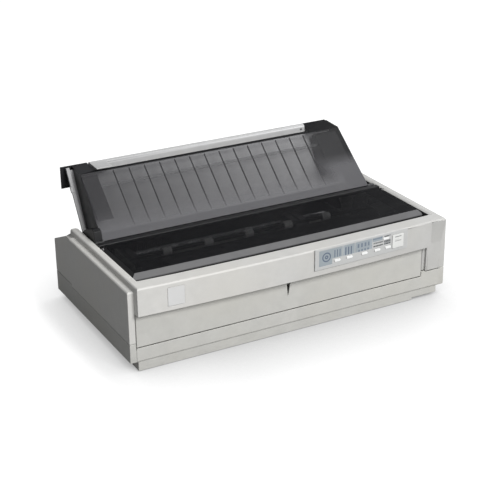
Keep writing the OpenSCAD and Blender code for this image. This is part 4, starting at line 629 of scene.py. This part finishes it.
GUIDE_LOW, GUIDE_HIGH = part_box("guide_cover")
CASE_LOW, CASE_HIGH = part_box("upper_case")
COVER_LOW, COVER_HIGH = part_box("printer_cover")
SLOPE = Vector((0, -0.6495, 0.7603))       # outward normal of the guide's face
FACE_FOOT = Vector((0, 0.0322, 0.149))     # a point on that face, at its foot
LEDGE_HALF = 0.236                         # half of the length of the ledge along the guide's head
STRIP_RIGHT = GUIDE_LOW.x + 0.0265         # right side of the frame's left strip
WELL_HALF, WELL_FRONT, WELL_REAR = 0.2795, -0.1405, CASE_HIGH.y - 0.0029
WELL_MIDDLE = (CASE_LOW.x + CASE_HIGH.x) / 2


def above_face(at):
    return (at - FACE_FOOT).dot(SLOPE)


def guide_face(at, facing):
    return facing.dot(SLOPE) > 0.999 and abs(above_face(at)) < 0.0008


def guide_face_inside(at, facing):
    return facing.dot(SLOPE) < -0.999 and -0.0045 < above_face(at) < -0.001


def guide_ledge(at, facing):
    return abs(at.x) < LEDGE_HALF and at.y > 0.125 and at.z > GUIDE_HIGH.z - 0.0113 and facing.z > 0.9


def guide_hinge(at, facing):
    return at.x < GUIDE_LOW.x + 0.018 and at.z < GUIDE_LOW.z + 0.038


def frame_plate(at, facing):
    return STRIP_RIGHT < at.x and facing.y < -0.8 and facing.z > 0.4


def cover_lip(at, facing):
    return 0.15 < facing.z < 0.9 and facing.y < -0.3 and at.z > COVER_LOW.z + 0.0032


def in_well(at, facing):
    """The walls below the covers, apart from the deck and the outer face of the front panel: they get
    painted shade.
    """
    inside = abs(at.x - WELL_MIDDLE) < WELL_HALF and WELL_FRONT < at.y < WELL_REAR
    panel = facing.y < -0.5 and at.y < WELL_FRONT + 0.0055
    return inside and at.z < CASE_HIGH.z - 0.0033 and facing.z < 0.3 and not panel


paint("guide_cover", "face", guide_face)
paint("guide_cover", "face_in", guide_face_inside)
# The ledge below the guide's top bar gets painted shade.
paint("guide_cover", "ledge", guide_ledge)
paint("guide_cover", "hinge", guide_hinge)
paint("guide_frame", "plate", frame_plate)
paint("guide_frame", "strip", lambda at, facing: at.x < STRIP_RIGHT)
paint("printer_cover", "cover_in", lambda at, facing: facing.z < -0.9)
paint("printer_cover", "wall", lambda at, facing: abs(facing.z) < 0.9)
# The cover's sloped front faces get the lip's painted reflection.
paint("printer_cover", "lip", cover_lip)
# The case's inner walls get painted shade.
paint("upper_case", "well", in_well)


def vent_shade_screen():
    """A dark pleated sheet behind the rear cooling slots, put there as painted shade."""
    pleats, pleat_depth, thickness = 34, 0.0022, 0.0009
    left, right = CASE_LOW.x + 0.0705, CASE_LOW.x + 0.2065
    rear, foot, head = CASE_HIGH.y - 0.0042, CASE_LOW.z + 0.0033, CASE_LOW.z + 0.0207
    bm = bmesh.new()
    rear_line, front_line = [], []
    for i in range(2 * pleats + 1):
        x = left + (right - left) * i / (2 * pleats)
        y = rear - (pleat_depth if i % 2 else 0.0)
        rear_line.append((x, y))
        front_line.append((x, y - thickness))
    outline = rear_line + front_line[::-1]
    count = len(outline)
    rings = [[bm.verts.new((x, y, z)) for x, y in outline] for z in (foot, head)]
    for i in range(count):
        j = (i + 1) % count
        bm.faces.new((rings[0][i], rings[0][j], rings[1][j], rings[1][i]))
    for ring in rings:
        for i in range(2 * pleats):
            bm.faces.new((ring[i], ring[i + 1], ring[count - 2 - i], ring[count - 1 - i]))
    bmesh.ops.recalc_face_normals(bm, faces=bm.faces[:])
    mesh = bpy.data.meshes.new("vent_shade_screen")
    bm.to_mesh(mesh)
    bm.free()
    screen = bpy.data.objects.new("vent_shade_screen", mesh)
    scene.collection.objects.link(screen)
    mesh.materials.append(LOOKS["screen"])
    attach(screen, "case")


vent_shade_screen()


def soften(name, width, segments=2, angle=30):
    """Rounds a CAD node's edges: split corners are closed, flat facets joined, then edges bevelled."""
    ob = nodes[name]
    weld = ob.modifiers.new("weld", "WELD")
    weld.merge_threshold = 0.000002
    join = ob.modifiers.new("join", "DECIMATE")
    join.decimate_type = "DISSOLVE"
    join.angle_limit = math.radians(0.2)
    join.delimit = {"MATERIAL"}
    bevel = ob.modifiers.new("bevel", "BEVEL")
    bevel.width = width
    bevel.segments = segments
    bevel.limit_method = "ANGLE"
    bevel.angle_limit = math.radians(angle)
    bevel.harden_normals = False
    bevel.use_clamp_overlap = False
    for poly in ob.data.polygons:
        poly.use_smooth = True
    weigh = ob.modifiers.new("weigh", "WEIGHTED_NORMAL")
    weigh.keep_sharp = False


ROUND = {
    0.0009: ("upper_case", "lower_case"),
    0.0006: ("front_door", "edge_guide_left", "edge_guide_right"),
    0.0005: ("printer_cover", "hinge_bar", "guide_cover", "guide_frame", "ribbon_cartridge"),
    0.0004: ("control_bezel", "pause_button", "power_switch", "feet", "power_supply", "carriage",
             "release_lever", "thickness_lever", *("panel_button_%d" % i for i in range(1, 7))),
    0.0003: ("badge_plate", "chassis", "print_head", "paper_chute", "tractor_left", "tractor_right",
             "tractor_gate_left", "tractor_gate_right", "power_inlet", "parallel_port"),
    0.00025: ("platen_knob",),
}
for width, names in ROUND.items():
    for name in names:
        soften(name, width)
